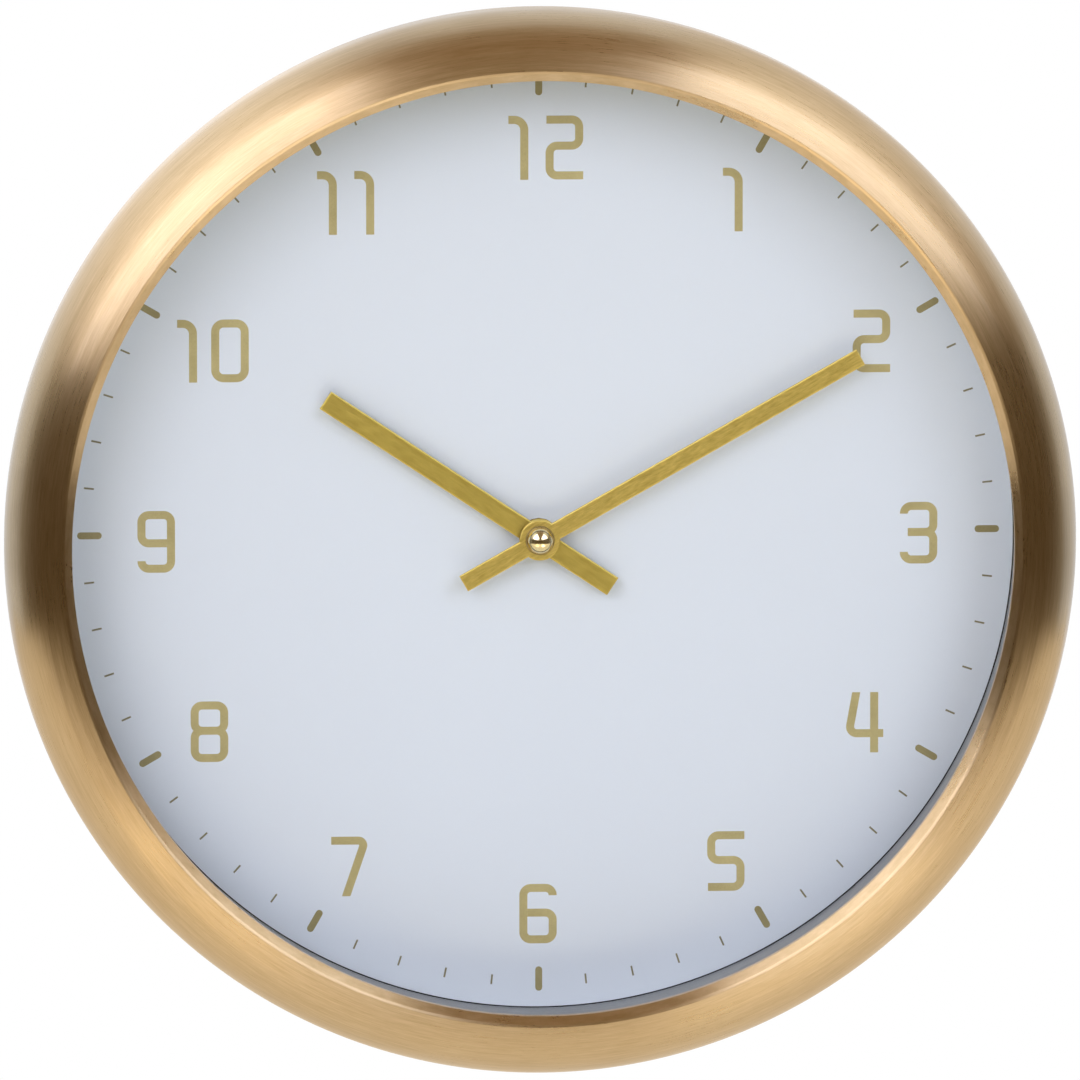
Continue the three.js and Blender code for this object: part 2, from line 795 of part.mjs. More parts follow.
turned("rotor", rotorGeometry(), magnetGrey, rotorAt, rotorTurn);

// Hands: a flat bar with a tail and a round hub, its edges running into the hub's circle

function handGeometry({ length, tail, width }, bore, back) {
  const half = width / 2;
  const turn = Math.asin(half / hubRadius);
  const shape = new THREE.Shape();
  shape.moveTo(length, -half);
  shape.lineTo(length, half);
  shape.absarc(0, 0, hubRadius, turn, Math.PI - turn);
  shape.lineTo(-tail, half);
  shape.lineTo(-tail, -half);
  shape.absarc(0, 0, hubRadius, Math.PI + turn, 2 * Math.PI - turn);
  return extrude(bored(shape, bore), back, back + handSheet, hubSteps);
}

turned(
  "hour_hand",
  handGeometry(hourHand, hourPipeRadius + run, hourHandBack),
  handGold,
  centre,
  radians(90 - hourHand.clockwise),
);
turned(
  "minute_hand",
  handGeometry(minuteHand, arborTipRadius + run, minuteHandBack),
  handGold,
  centre,
  radians(90 - minuteHand.clockwise),
);

function handCapGeometry() {
  const bore = arborTipRadius + run;
  const section = [
    [0, arborTip + seat],
    [bore, arborTip + seat],
    [bore, capBack],
    [capRadius, capBack],
  ];
  for (let i = 0; i <= hubSteps; i += 1) {
    const turn = (Math.PI / 2) * (i / hubSteps);
    section.push([capRadius * Math.cos(turn), capBack + capSkirt + (capHeight - capSkirt) * Math.sin(turn)]);
  }
  return revolve(section, shaftSides);
}

place("hand_cap", handCapGeometry(), polishedBrass);

// Movement's nut and washers

const aroundPost = postRadius + run;
const nutShape = bored(new THREE.Shape(circle(nutFlats / Math.sqrt(3), 6)), aroundPost);
const washerFront = washerBack + washerHeight;

place("post_nut", extrude(nutShape, nutBack, nutFront), brass);
place("post_washer", ring(aroundPost, washerRadius, washerBack, washerFront, shaftSides), brass);
place("cushion_washer", ring(aroundPost, cushionRadius, cushionBack, cushionFront, shaftSides), rubberBlack);

// Movement's base, with its post, battery bay, stud and plate posts

const bodyHalf = bodySize / 2;
const insideHalf = bodyHalf - bodyWall;
const insideSpan = [-insideHalf, insideHalf];
const bayTop = -insideHalf + 2 * (batteryRadius + seat);
const partitionTop = bayTop + partitionWall;
const floorSeat = bodyInside + bodyFloor / 2;
const plateCornerX = insideHalf - platePostInset;
const plateCornerYs = [partitionTop + platePostInset, insideHalf - platePostInset];
const platePosts = plateCornerYs.flatMap((y) => [-plateCornerX, plateCornerX].map((x) => v2(x, y)));

function movementBaseGeometry() {
  const below = bodyBack - through;
  const outside = extrude(squareShape(bodyHalf, bodyCorner), coverFront + seat, bodyFront);
  const gearSpace = roundedRect(insideSpan, [partitionTop, insideHalf], bodyCorner - bodyWall);
  const bay = roundedRect(insideSpan, [-insideHalf, bayTop], seat);
  const notches = [-1, 1].map((side) => {
    const xs = [side * (insideHalf - notchWidth), side * insideHalf].sort((a, b) => a - b);
    const ys = [bayTop - through, partitionTop + through];
    return block(xs, ys, [below, contactBack + contactSheet + notchRoom]);
  });
  const hollows = [gearSpace, bay].map((outline) => extrude(outline, below, bodyInside));
  const shell = cut(outside, ...hollows, ...notches);
  const post = rod(postRadius, bodyInside, nutFront + postThread);
  const stud = rod(studRadius, cannonBack + run, floorSeat, minuteWheelAt, pinSides);
  const posts = platePosts.map((at) => rod(platePostRadius, plateFront + seat, floorSeat, at, pinSides));
  const postHole = rod(postBore, below, nutFront + postThread + through);
  return cut(join(shell, post, stud, ...posts), postHole);
}

place("movement_base", movementBaseGeometry(), bodyPlastic);

// Movement's cover, over the gear space only, with a bearing hole for each arbor

function movementCoverGeometry() {
  const outline = roundedRect([-bodyHalf, bodyHalf], [bayTop + run, bodyHalf], bodyCorner);
  const hole = (radius, at) => rod(radius + run, bodyBack - through, coverFront + through, at, pinSides);
  const bearings = trainArbors.map((at) => hole(pivotRadius, at));
  const centreBearing = hole(arborTailRadius, centre);
  const knobHole = hole(knobShaftRadius, knobAt);
  return cut(extrude(outline, bodyBack, coverFront), ...bearings, centreBearing, knobHole);
}

place("movement_cover", movementCoverGeometry(), bodyPlastic);

// Train plate, with pillars for the motor and stands for the circuit board

const boardLow = partitionTop + seat;
const boardHigh = boardLow + boardStrip;
const coreLow = boardHigh + boardToCore;
const coreHigh = rotorAt.y - coreTopDrop;
const coilLow = coreLow + coreOverhang;
const coilHigh = coreHigh - coreOverhang;
const coilLength = coilHigh - coilLow;
const coilX = insideHalf - bobbinRadius - coilWallGap;
const coilMiddle = (coilLow + coilHigh) / 2;
const statorScrews = [coreLow + pillarRadius, coreHigh - pillarRadius].map((y) => v2(coilX, y));
const boardEnd = insideHalf - seat;
const boardLegRight = -boardEnd + boardLegWidth;
const boardLegTop = boardHigh + boardLegRise;
const boardPosts = [
  v2(-insideHalf + boardPostInset, boardLow + boardPostRise),
  v2(-insideHalf + boardPostInset, boardLegTop - boardLegRoom),
  v2(boardEnd - boardPostSetback, boardLow + boardPostRise),
];

function trainPlateGeometry() {
  const edge = insideHalf - seat;
  const outline = roundedRect([-edge, edge], [partitionTop + seat, edge], bodyCorner - bodyWall);
  const plate = extrude(outline, plateBack, plateFront);
  const root = plateBack + plateHeight / 2;
  const pillars = statorScrews.map((at) => rod(pillarRadius, coreFront + seat, root, at, bossSides));
  const stands = boardPosts.map((at) => rod(boardPostRadius, statorFront + seat, root, at, pinSides));
  const hole = (radius, at, sides) => rod(radius + run, plateBack - through, plateFront + through, at, sides);
  const pivots = trainArbors.map((at) => hole(pivotRadius, at, pinSides));
  const centreHole = hole(arborRadius, centre, shaftSides);
  const knobHole = hole(knobShaftRadius, knobAt, pinSides);
  const screwHoles = statorScrews.map((at) =>
    rod(statorScrewRadius + run, coreFront, plateBack - screwTipGap, at, pinSides),
  );
  return cut(join(plate, ...pillars, ...stands), ...pivots, centreHole, knobHole, ...screwHoles);
}

place("train_plate", trainPlateGeometry(), whitePlastic);

// Stepping motor: core, stator, bobbin, winding and its two screws

const coreXs = [coilX - coreWidth / 2, coilX + coreWidth / 2];
const screwHole = (low, high) => (at) =>
  rod(statorScrewRadius + run, low - through, high + through, at, pinSides);

function coreGeometry() {
  const bar = block(coreXs, [coreLow, coreHigh], [coreBack, coreFront]);
  return cut(bar, ...statorScrews.map(screwHole(coreBack, coreFront)));
}

function statorGeometry() {
  const rotorHoleRadius = magnetRadius + magnetGap;
  const left = rotorAt.x - rotorHoleRadius - statorRim;
  const top = rotorAt.y + rotorHoleRadius + statorRim;
  const right = coilX + statorEdge;
  const legRight = coilX - bobbinRadius - coilToStator;
  const lowPadTop = coreLow + 2 * pillarRadius;
  const highPadLow = coreHigh - 2 * pillarRadius;
  const outline = outlineShape([
    [left, coreLow],
    [right, coreLow],
    [right, lowPadTop],
    [legRight, lowPadTop],
    [legRight, highPadLow],
    [right, highPadLow],
    [right, top - statorCorner],
    [right - statorCorner, top],
    [left, top],
  ]);
  const rotorHole = rod(rotorHoleRadius, statorBack - through, statorFront + through, rotorAt);
  const holes = statorScrews.map(screwHole(statorBack, statorFront));
  return cut(extrude(outline, statorBack, statorFront), rotorHole, ...holes);
}

// Coil forms are revolved about z, then laid along y at the core's height.
function coilAlongY(geometry) {
  return geometry.rotateX(-Math.PI / 2).translate(coilX, coilMiddle, (coreFront + coreBack) / 2);
}

function bobbinGeometry() {
  const half = coilLength / 2;
  const section = [
    [0, -half],
    [bobbinRadius, -half],
    [bobbinRadius, -half + bobbinFlange],
    [bobbinTube, -half + bobbinFlange],
    [bobbinTube, half - bobbinFlange],
    [bobbinRadius, half - bobbinFlange],
    [bobbinRadius, half],
    [0, half],
  ];
  const slot = block(
    [coreXs[0] - run, coreXs[1] + run],
    [coilLow - through, coilHigh + through],
    [coreBack - run, coreFront + run],
  );
  return cut(coilAlongY(revolve(section, shaftSides)), slot);
}

function windingGeometry() {
  const half = coilLength / 2 - bobbinFlange - run;
  return coilAlongY(ring(bobbinTube + run, windingRadius, -half, half, shaftSides));
}

function statorScrewGeometry(at) {
  const headFront = statorBack - seat;
  const headBack = headFront - statorHeadHeight;
  const tip = plateBack - 2 * screwTipGap;
  const section = [
    [0, headBack],
    [statorScrewHead, headBack],
    [statorScrewHead, headFront],
    [statorScrewRadius, headFront],
    [statorScrewRadius, tip],
    [0, tip],
  ];
  return revolve(section, pinSides, at);
}

place("coil_core", coreGeometry(), steel);
place("stator", statorGeometry(), steel);
place("coil_bobbin", bobbinGeometry(), whitePlastic);
place("coil_winding", windingGeometry(), copper);
statorScrews.forEach((at, i) => place(`stator_screw_${i + 1}`, statorScrewGeometry(at), steel));

// Circuit board with its chip and crystal

function boardGeometry() {
  const outline = outlineShape([
    [-boardEnd, boardLow],
    [boardEnd, boardLow],
    [boardEnd, boardHigh],
    [boardLegRight, boardHigh],
    [boardLegRight, boardLegTop],
    [-boardEnd, boardLegTop],
  ]);
  return extrude(outline, boardBack, statorFront);
}

const chipFront = boardBack - seat;
const chipAt = v2(chipInset - boardEnd, boardHigh + chipRise);

function crystalGeometry() {
  const can = new THREE.CylinderGeometry(crystalRadius, crystalRadius, crystalLength, bossSides);
  return can.rotateZ(Math.PI / 2).translate(chipAt.x, boardHigh + crystalRise, chipFront - crystalRadius);
}

place("circuit_board", boardGeometry(), boardGreen);
place("circuit_chip", rod(chipRadius, chipFront - chipHeight, chipFront, chipAt), rubberBlack);
place("quartz_crystal", crystalGeometry(), steel);

// Battery and its contacts

const batteryY = -insideHalf + seat + batteryRadius;
const batteryZ = bodyInside - seat - batteryRadius;
const contactOutside = insideHalf - seat;
const plusEnd = contactOutside - contactSheet - seat;
const shoulder = plusEnd - nubLength;
const minusEnd = springRoom - contactOutside;

function contactGeometry(side) {
  const span = (width) => [side * (contactOutside - width), side * contactOutside].sort((a, b) => a - b);
  const plateYs = [batteryY - contactHalf, bayTop - seat];
  const tabYs = [bayTop - seat - tabRoot, boardLow + tabReach];
  const plate = block(span(contactSheet), plateYs, [contactBack, bodyInside - contactLead]);
  const tab = block(span(tabWidth), tabYs, [contactBack, contactBack + contactSheet]);
  return join(plate, tab);
}

// The minus contact carries a conical spring, drawn here as its envelope.
function springContactGeometry() {
  const foot = -(contactOutside - contactSheet / 2);
  const rise = minusEnd - seat - foot;
  const spring = new THREE.CylinderGeometry(springTip, springFoot, rise, bossSides);
  spring.rotateZ(-Math.PI / 2).translate(foot + rise / 2, batteryY, batteryZ);
  return join(contactGeometry(-1), spring);
}

function batteryGeometry() {
  const section = [
    [0, minusEnd],
    [batteryRadius - batteryEdge, minusEnd],
    [batteryRadius, minusEnd + batteryEdge],
    [batteryRadius, shoulder - batteryEdge],
    [batteryRadius - batteryEdge, shoulder],
    [nubRadius, shoulder],
    [nubRadius, plusEnd],
    [0, plusEnd],
  ];
  return revolve(section, shaftSides).rotateY(Math.PI / 2).translate(0, batteryY, batteryZ);
}

place("contact_plus", contactGeometry(1), steel);
place("contact_minus", springContactGeometry(), steel);
place("battery", batteryGeometry(), batteryBlue);

// Stand the clock up and put the middle of its depth at the origin.
clock.rotation.x = Math.PI / 2;
clock.position.y = clockDepth / 2;
clock.updateMatrixWorld(true);

export default clock;
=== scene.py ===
import bpy
import bmesh
import json
import math
from mathutils import Matrix, Vector


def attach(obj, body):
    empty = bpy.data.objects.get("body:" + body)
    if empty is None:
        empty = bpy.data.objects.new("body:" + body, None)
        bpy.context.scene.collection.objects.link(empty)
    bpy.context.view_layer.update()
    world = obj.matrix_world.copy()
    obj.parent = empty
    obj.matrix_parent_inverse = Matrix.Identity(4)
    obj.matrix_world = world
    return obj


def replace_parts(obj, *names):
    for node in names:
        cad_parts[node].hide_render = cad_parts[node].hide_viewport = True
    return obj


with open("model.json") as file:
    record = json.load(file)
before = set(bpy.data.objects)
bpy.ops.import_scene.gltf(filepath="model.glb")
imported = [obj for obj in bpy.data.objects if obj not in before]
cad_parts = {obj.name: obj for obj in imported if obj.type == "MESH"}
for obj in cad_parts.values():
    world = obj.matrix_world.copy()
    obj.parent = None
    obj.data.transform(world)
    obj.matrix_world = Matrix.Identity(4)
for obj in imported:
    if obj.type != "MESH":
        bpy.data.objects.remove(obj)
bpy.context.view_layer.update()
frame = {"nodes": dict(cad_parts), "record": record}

MM = 0.001
AXIS = (0.0, 0.0)

# Radii from the hands' axis and heights from the wall, in millimetres
HALF_DEPTH = 26.5
DIAL_FACE = 24.0
RING_BACK = 24.3
RING_FRONT = 44.6
RING_INSIDE = 135.7
RING_OUTSIDE = 138.2
LIP_BACK = 48.5
LIP_FRONT = 51.0
LIP_RADIUS = 133.7
LIP_ROOT = 140.5
BEVEL_OUT = 2.2
BEVEL_UP = 1.8
CREST_RADIUS = 136.7
CREST_HEIGHT = 53.0
SLOPE_MIDDLE = (139.6, 52.35)
CREASE_RADIUS = 142.5
CREASE_HEIGHT = 51.4
ROLL_CENTRE = 138.0
CLOCK_RADIUS = 152.5
WIDEST_HEIGHT = 34.0
SKIRT_HIGH = (152.25, 26.0)
SKIRT_LOW = (151.24, 17.0)
SKIRT_INSIDE = (149.64, 17.0)
FOOT_RADIUS = 148.9
FOOT_INSIDE = 147.3
FOOT_HEIGHT = 0.6
FLANGE_INSIDE = 141.6
FLANGE_BACK = 2.7
FLANGE_FRONT = 4.3
SHEET = 1.6

# Steps round a full turn
LARGE_ROUND = 288
CAP_ROUND = 96
KNOB_ROUND = 64
SCREW_ROUND = 48
HOLE_ROUND = 40


def world_point(x, y, height):
    """From the clock's own drawing, height measured out of the wall, to the row frame in metres."""
    return Vector((x * MM, (HALF_DEPTH - height) * MM, y * MM))


def polar(radius, degrees):
    turn = math.radians(degrees)
    return radius * math.cos(turn), radius * math.sin(turn)


def left_of(way):
    """The direction to the left of another one, in the dial's plane."""
    return Vector((-way.y, way.x))


# Lines

def arc_points(centre, radius, start, end, steps):
    points = []
    for i in range(steps + 1):
        turn = math.radians(start + (end - start) * i / steps)
        points.append((centre[0] + radius * math.cos(turn), centre[1] + radius * math.sin(turn)))
    return points


def circle_points(centre, radius, steps):
    return arc_points(centre, radius, 0, 360, steps)[:-1]


def spun(points, degrees):
    """Points turned anticlockwise about the hands' axis."""
    cos = math.cos(math.radians(degrees))
    sin = math.sin(math.radians(degrees))
    return [(x * cos - y * sin, x * sin + y * cos) for x, y in points]


NEARLY_STRAIGHT = math.radians(89.5)


def rounded(points, radii, steps, closed):
    """Replaces corners of a line by arcs. radii gives one radius per point, 0 for a sharp one."""
    count = len(points)
    out = []
    for i, (x, y) in enumerate(points):
        radius = radii[i]
        if radius == 0 or (not closed and i in (0, count - 1)):
            out.append((x, y))
            continue
        here = Vector((x, y))
        before = (Vector(points[i - 1]) - here).normalized()
        after = (Vector(points[(i + 1) % count]) - here).normalized()
        half = before.angle(after) / 2
        if half > NEARLY_STRAIGHT:
            out.append((x, y))
            continue
        run = radius / math.tan(half)
        centre = here + (before + after).normalized() * (radius / math.sin(half))
        start = here + before * run - centre
        end = here + after * run - centre
        turn = start.angle_signed(end)
        for k in range(steps + 1):
            spoke = start.copy()
            spoke.rotate(Matrix.Rotation(-turn * k / steps, 2))
            out.append(tuple(centre + spoke))
    return out


SHARPEST_INSET = 0.35


def shrunk(points, distance):
    """A closed line moved inward, or outward for a negative distance, seen as running anticlockwise."""
    out = []
    for i, point in enumerate(points):
        here = Vector(point)
        into = (here - Vector(points[i - 1])).normalized()
        onward = (Vector(points[(i + 1) % len(points)]) - here).normalized()
        middle = (left_of(into) + left_of(onward)).normalized()
        out.append(tuple(here + middle * (distance / max(middle.dot(left_of(into)), SHARPEST_INSET))))
    return out


# Meshes

def loop_at(bm, points, height):
    return [bm.verts.new(world_point(x, y, height)) for x, y in points]


def wall_between(bm, a, b):
    for i in range(len(a)):
        k = (i + 1) % len(a)
        bm.faces.new((a[i], a[k], b[k], b[i]))


def fill_between(bm, loops):
    edges = []
    for loop in loops:
        for i in range(len(loop)):
            pair = (loop[i], loop[(i + 1) % len(loop)])
            edges.append(bm.edges.get(pair) or bm.edges.new(pair))
    bmesh.ops.triangle_fill(bm, edges=edges, use_beauty=True)


def revolve(profile, segments, at=AXIS):
    """Turns a closed line of (radius, height) points about an axis that stands out of the wall."""
    bm = bmesh.new()
    rows = []
    for i in range(segments):
        cos = math.cos(2 * math.pi * i / segments)
        sin = math.sin(2 * math.pi * i / segments)
        rows.append([bm.verts.new(world_point(at[0] + r * cos, at[1] + r * sin, z)) for r, z in profile])
    for i in range(segments):
        a = rows[i]
        b = rows[(i + 1) % segments]
        for k in range(len(profile)):
            m = (k + 1) % len(profile)
            bm.faces.new((a[k], a[m], b[m], b[k]))
    bmesh.ops.remove_doubles(bm, verts=bm.verts, dist=1e-7)
    return bm


def object_from(bm, name, material):
    mesh = bpy.data.meshes.new(name)
    bm.to_mesh(mesh)
    bm.free()
    mesh.materials.append(material)
    piece = bpy.data.objects.new(name, mesh)
    bpy.context.scene.collection.objects.link(piece)
    return piece


def finish_mesh(bm, name, material, body, smooth_degrees):
    """A piece that rides a body. Edges that turn by more than smooth_degrees stay sharp."""
    bmesh.ops.recalc_face_normals(bm, faces=bm.faces)
    piece = object_from(bm, name, material)
    piece.data.shade_smooth()
    piece.data.set_sharp_from_angle(angle=math.radians(smooth_degrees))
    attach(piece, body)
    return piece


# Materials

class Nodes:
    """A short way to write a node tree."""

    def __init__(self, tree):
        self.tree = tree
        self.tree.nodes.clear()

    def put(self, kind, inputs=None, **settings):
        node = self.tree.nodes.new(kind)
        for key, value in settings.items():
            setattr(node, key, value)
        for key, value in (inputs or {}).items():
            self.feed(node.inputs[key], value)
        return node

    def feed(self, socket, value):
        if isinstance(value, bpy.types.NodeSocket):
            self.tree.links.new(value, socket)
        else:
            socket.default_value = value

    def math(self, operation, a, b=0.0):
        return self.put("ShaderNodeMath", {0: a, 1: b}, operation=operation).outputs[0]

    def weigh(self, a, b, share):
        """The sum of two values, the first by its share and the second by the rest."""
        return self.math("ADD", self.math("MULTIPLY", a, share), self.math("MULTIPLY", b, 1 - share))

    def place(self):
        return self.put("ShaderNodeTexCoord").outputs["Object"]

    def split(self, vector):
        return self.put("ShaderNodeSeparateXYZ", {0: vector}).outputs

    def noise(self, vector, scale, detail=2.0, roughness=0.5):
        values = {"Vector": vector, "Scale": scale, "Detail": detail, "Roughness": roughness}
        return self.put("ShaderNodeTexNoise", values).outputs[0]

    def stretch(self, value, low, high, to_low=0.0, to_high=1.0, **settings):
        values = {"Value": value, "From Min": low, "From Max": high, "To Min": to_low, "To Max": to_high}
        return self.put("ShaderNodeMapRange", values, **settings).outputs[0]

    def blend(self, factor, a, b):
        return self.put("ShaderNodeMix", {0: factor, 6: a, 7: b}, data_type="RGBA").outputs[2]

    def scaled(self, vector, scale, turn=(0, 0, 0)):
        values = {"Vector": vector, "Scale": scale, "Rotation": turn}
        return self.put("ShaderNodeMapping", values).outputs[0]


class Surface(Nodes):
    """A material with one main shader."""

    def __init__(self, name):
        self.material = bpy.data.materials.new(name)
        self.material.use_nodes = True
        super().__init__(self.material.node_tree)
        self.output = self.put("ShaderNodeOutputMaterial")
        self.shader = self.put("ShaderNodeBsdfPrincipled")
        self.feed(self.output.inputs[0], self.shader.outputs[0])

    def bump(self, height, strength, distance):
        values = {"Height": height, "Strength": strength, "Distance": distance}
        self.feed(self.shader.inputs["Normal"], self.put("ShaderNodeBump", values).outputs[0])

    def base(self, **values):
        for key, value in values.items():
            self.feed(self.shader.inputs[key.replace("_", " ")], value)


def around_axis(n, across, along):
    """Coordinates for marks that run round the hands' axis: fine across them, long along them."""
    x, y, z = n.split(n.place())
    radius = n.math("SQRT", n.math("ADD", n.math("MULTIPLY", x, x), n.math("MULTIPLY", z, z)))
    safe = n.math("MAXIMUM", radius, 1e-5)
    u = n.math("MULTIPLY", n.math("DIVIDE", x, safe), along)
    v = n.math("MULTIPLY", n.math("DIVIDE", z, safe), along)
    w = n.math("MULTIPLY", n.math("ADD", radius, y), across)
    return n.put("ShaderNodeCombineXYZ", {0: u, 1: v, 2: w}).outputs[0]


def spun_gold():
    """Metal brushed round the axis, with a thin clear coat and faint marks of handling."""
    n = Surface("spun_gold")
    fine = n.noise(around_axis(n, 3000, 20.0), 1.0, 3.0, 0.7)
    wide = n.noise(around_axis(n, 1000, 5.0), 1.0, 2.0, 0.6)
    streak = n.weigh(fine, wide, 0.6)
    tone = n.stretch(streak, 0.35, 0.65)
    handled = n.noise(n.place(), 28.0, 3.0, 0.55)
    smudge = n.stretch(handled, 0.42, 0.68, 0.0, 0.05)
    n.base(Base_Color=n.blend(tone, (0.56, 0.380, 0.188, 1), (0.71, 0.505, 0.282, 1)), Metallic=1.0)
    n.base(Roughness=n.math("ADD", n.stretch(streak, 0.35, 0.65, 0.26, 0.31), smudge))
    n.base(Anisotropic=1.0, Anisotropic_Rotation=0.25)
    n.base(Coat_Weight=0.4, Coat_Roughness=0.12)
    n.base(Tangent=n.put("ShaderNodeTangent", direction_type="RADIAL", axis="Y").outputs[0])
    n.bump(fine, strength=0.22, distance=0.00003)
    return n.material


def hand_gold(name, degrees_clockwise, dark, pale, grain):
    """Brushed along the hand, whose direction in the dial's plane is given clockwise from 12."""
    n = Surface(name)
    along = math.pi / 2 - math.radians(degrees_clockwise)
    turned = n.scaled(n.place(), (1, 1, 1), (0, along, 0))
    dashes = n.noise(n.scaled(turned, (330, 900, 1500)), 1.0, 3.0, 0.65)
    hairs = n.noise(n.scaled(turned, (160, 900, 4200)), 1.0, 2.0, 0.6)
    marks = n.weigh(dashes, hairs, 0.6)
    n.base(Base_Color=n.blend(n.stretch(marks, 0.36, 0.64), dark, pale), Metallic=1.0)
    n.base(Roughness=n.stretch(marks, 0.35, 0.65, 0.36, 0.48))
    n.bump(marks, strength=grain, distance=0.00004)
    return n.material


def cap_brass():
    n = Surface("cap_brass")
    haze = n.noise(n.place(), 900.0, 2.0)
    n.base(Base_Color=n.blend(haze, (0.78, 0.63, 0.33, 1), (0.86, 0.72, 0.42, 1)), Metallic=1.0)
    n.base(Roughness=n.stretch(haze, 0.3, 0.7, 0.05, 0.09))
    return n.material


def turned_brass():
    n = Surface("turned_brass")
    fine = n.noise(around_axis(n, 9000, 1.2), 1.0, 2.0, 0.6)
    n.base(Base_Color=n.blend(fine, (0.52, 0.38, 0.14, 1), (0.70, 0.54, 0.24, 1)), Metallic=1.0)
    n.base(Roughness=n.stretch(fine, 0.3, 0.7, 0.22, 0.36))
    n.bump(fine, strength=0.25, distance=0.00003)
    return n.material


def zinc_steel():
    n = Surface("zinc_steel")
    spangle = n.noise(n.place(), 700.0, 4.0, 0.6)
    cloud = n.noise(n.place(), 60.0, 2.0, 0.5)
    tone = n.weigh(spangle, cloud, 0.5)
    n.base(Base_Color=n.blend(tone, (0.42, 0.43, 0.45, 1), (0.62, 0.62, 0.60, 1)), Metallic=1.0)
    n.base(Roughness=n.stretch(spangle, 0.3, 0.7, 0.26, 0.42))
    n.bump(spangle, strength=0.2, distance=0.00004)
    return n.material


def moulded(name, dark, pale, rough, skin_scale, grain, depth, gloss=0.5):
    """A moulded plastic: an even colour with a little drift, and a fine skin."""
    n = Surface(name)
    skin = n.noise(n.place(), skin_scale, 3.0, 0.55)
    drift = n.noise(n.place(), 22.0, 2.0, 0.5)
    tone = n.weigh(skin, drift, 0.5)
    n.base(Base_Color=n.blend(n.stretch(tone, 0.35, 0.65), dark, pale), Metallic=0.0)
    n.base(Roughness=n.stretch(skin, 0.3, 0.7, rough - 0.06, rough + 0.06), Specular_IOR_Level=gloss)
    n.bump(skin, strength=grain, distance=depth)
    return n.material


WIRE_PITCH = 0.00022


def copper_wire():
    n = Surface("copper_wire")
    z = n.split(n.place())[2]
    turns = n.math("SINE", n.math("MULTIPLY", z, 2 * math.pi / WIRE_PITCH))
    wander = n.noise(n.place(), 2500.0, 2.0)
    n.base(Base_Color=n.blend(wander, (0.42, 0.13, 0.05, 1), (0.62, 0.24, 0.10, 1)), Metallic=0.85)
    n.base(Roughness=n.stretch(turns, -1, 1, 0.5, 0.25))
    n.bump(turns, strength=0.6, distance=0.00006)
    return n.material


def clear_lens():
    """Thin clear glass: what it doesn't mirror passes straight through."""
    n = Surface("clear_lens")
    dust = n.noise(n.place(), 55.0, 3.0, 0.6)
    slant = n.put("ShaderNodeLayerWeight", {"Blend": 0.5}).outputs["Facing"]
    mirrored = n.math("ADD", n.math("MULTIPLY", n.math("POWER", slant, 5.0), 0.9), 0.035)
    n.base(Base_Color=(0.97, 0.98, 0.98, 1), Metallic=1.0, Alpha=mirrored)
    n.base(Roughness=n.stretch(dust, 0.3, 0.7, 0.015, 0.04))
    return n.material


def dial_paint():
    n = Surface("dial_paint")
    peel = n.noise(n.place(), 1500.0, 2.0, 0.5)
    cloud = n.noise(n.place(), 14.0, 2.0, 0.5)
    n.base(Base_Color=n.blend(cloud, (0.775, 0.828, 0.868, 1), (0.793, 0.848, 0.886, 1)), Metallic=0.0)
    n.base(Roughness=n.stretch(peel, 0.3, 0.7, 0.62, 0.72), Specular_IOR_Level=0.25)
    n.bump(peel, strength=0.05, distance=0.00002)
    return n.material


def print_gold(name, dark, pale):
    """Screen-printed ink, a little uneven."""
    n = Surface(name)
    speckle = n.noise(n.place(), 1700.0, 3.0, 0.6)
    patch = n.noise(n.place(), 120.0, 2.0, 0.5)
    tone = n.weigh(speckle, patch, 0.4)
    n.base(Base_Color=n.blend(n.stretch(tone, 0.35, 0.65), dark, pale), Metallic=0.0)
    n.base(Roughness=n.stretch(speckle, 0.3, 0.7, 0.42, 0.55), Specular_IOR_Level=0.35)
    n.bump(speckle, strength=0.1, distance=0.00002)
    return n.material


TRACK_PITCH = 0.0016


def circuit_mask():
    n = Surface("circuit_mask")
    z = n.split(n.place())[2]
    lane = n.math("ABSOLUTE", n.math("SINE", n.math("MULTIPLY", z, math.pi / TRACK_PITCH)))
    track = n.math("GREATER_THAN", lane, 0.86)
    grain = n.noise(n.place(), 1200.0, 2.0)
    mask = n.blend(grain, (0.020, 0.075, 0.034, 1), (0.030, 0.100, 0.046, 1))
    n.base(Base_Color=n.blend(track, mask, (0.075, 0.170, 0.060, 1)), Metallic=0.0)
    n.base(Roughness=n.stretch(grain, 0.3, 0.7, 0.32, 0.44))
    n.bump(track, strength=0.3, distance=0.00004)
    return n.material


# Along the cell, in metres from its middle
SLEEVE_START = -0.0245
SLEEVE_END = 0.0242
BAND_START = 0.0105


def cell_skin():
    """A plain cell: steel ends, a coloured sleeve and one paler band at its plus end."""
    n = Surface("cell_skin")
    x = n.split(n.place())[0]
    scuff = n.noise(n.scaled(n.place(), (300, 1400, 1400)), 1.0, 3.0, 0.6)
    sleeve = n.math("MULTIPLY", n.math("LESS_THAN", x, SLEEVE_END), n.math("GREATER_THAN", x, SLEEVE_START))
    band = n.math("GREATER_THAN", x, BAND_START)
    paint = n.blend(band, (0.040, 0.060, 0.115, 1), (0.55, 0.40, 0.20, 1))
    worn = n.blend(n.stretch(scuff, 0.55, 0.8, 0.0, 0.35), paint, (0.35, 0.36, 0.38, 1))
    n.base(Base_Color=n.blend(sleeve, (0.60, 0.60, 0.58, 1), worn))
    n.base(Metallic=n.stretch(sleeve, 0, 1, 1.0, 0.15))
    n.base(Roughness=n.stretch(scuff, 0.3, 0.7, 0.26, 0.38))
    n.bump(scuff, strength=0.06, distance=0.00002)
    return n.material


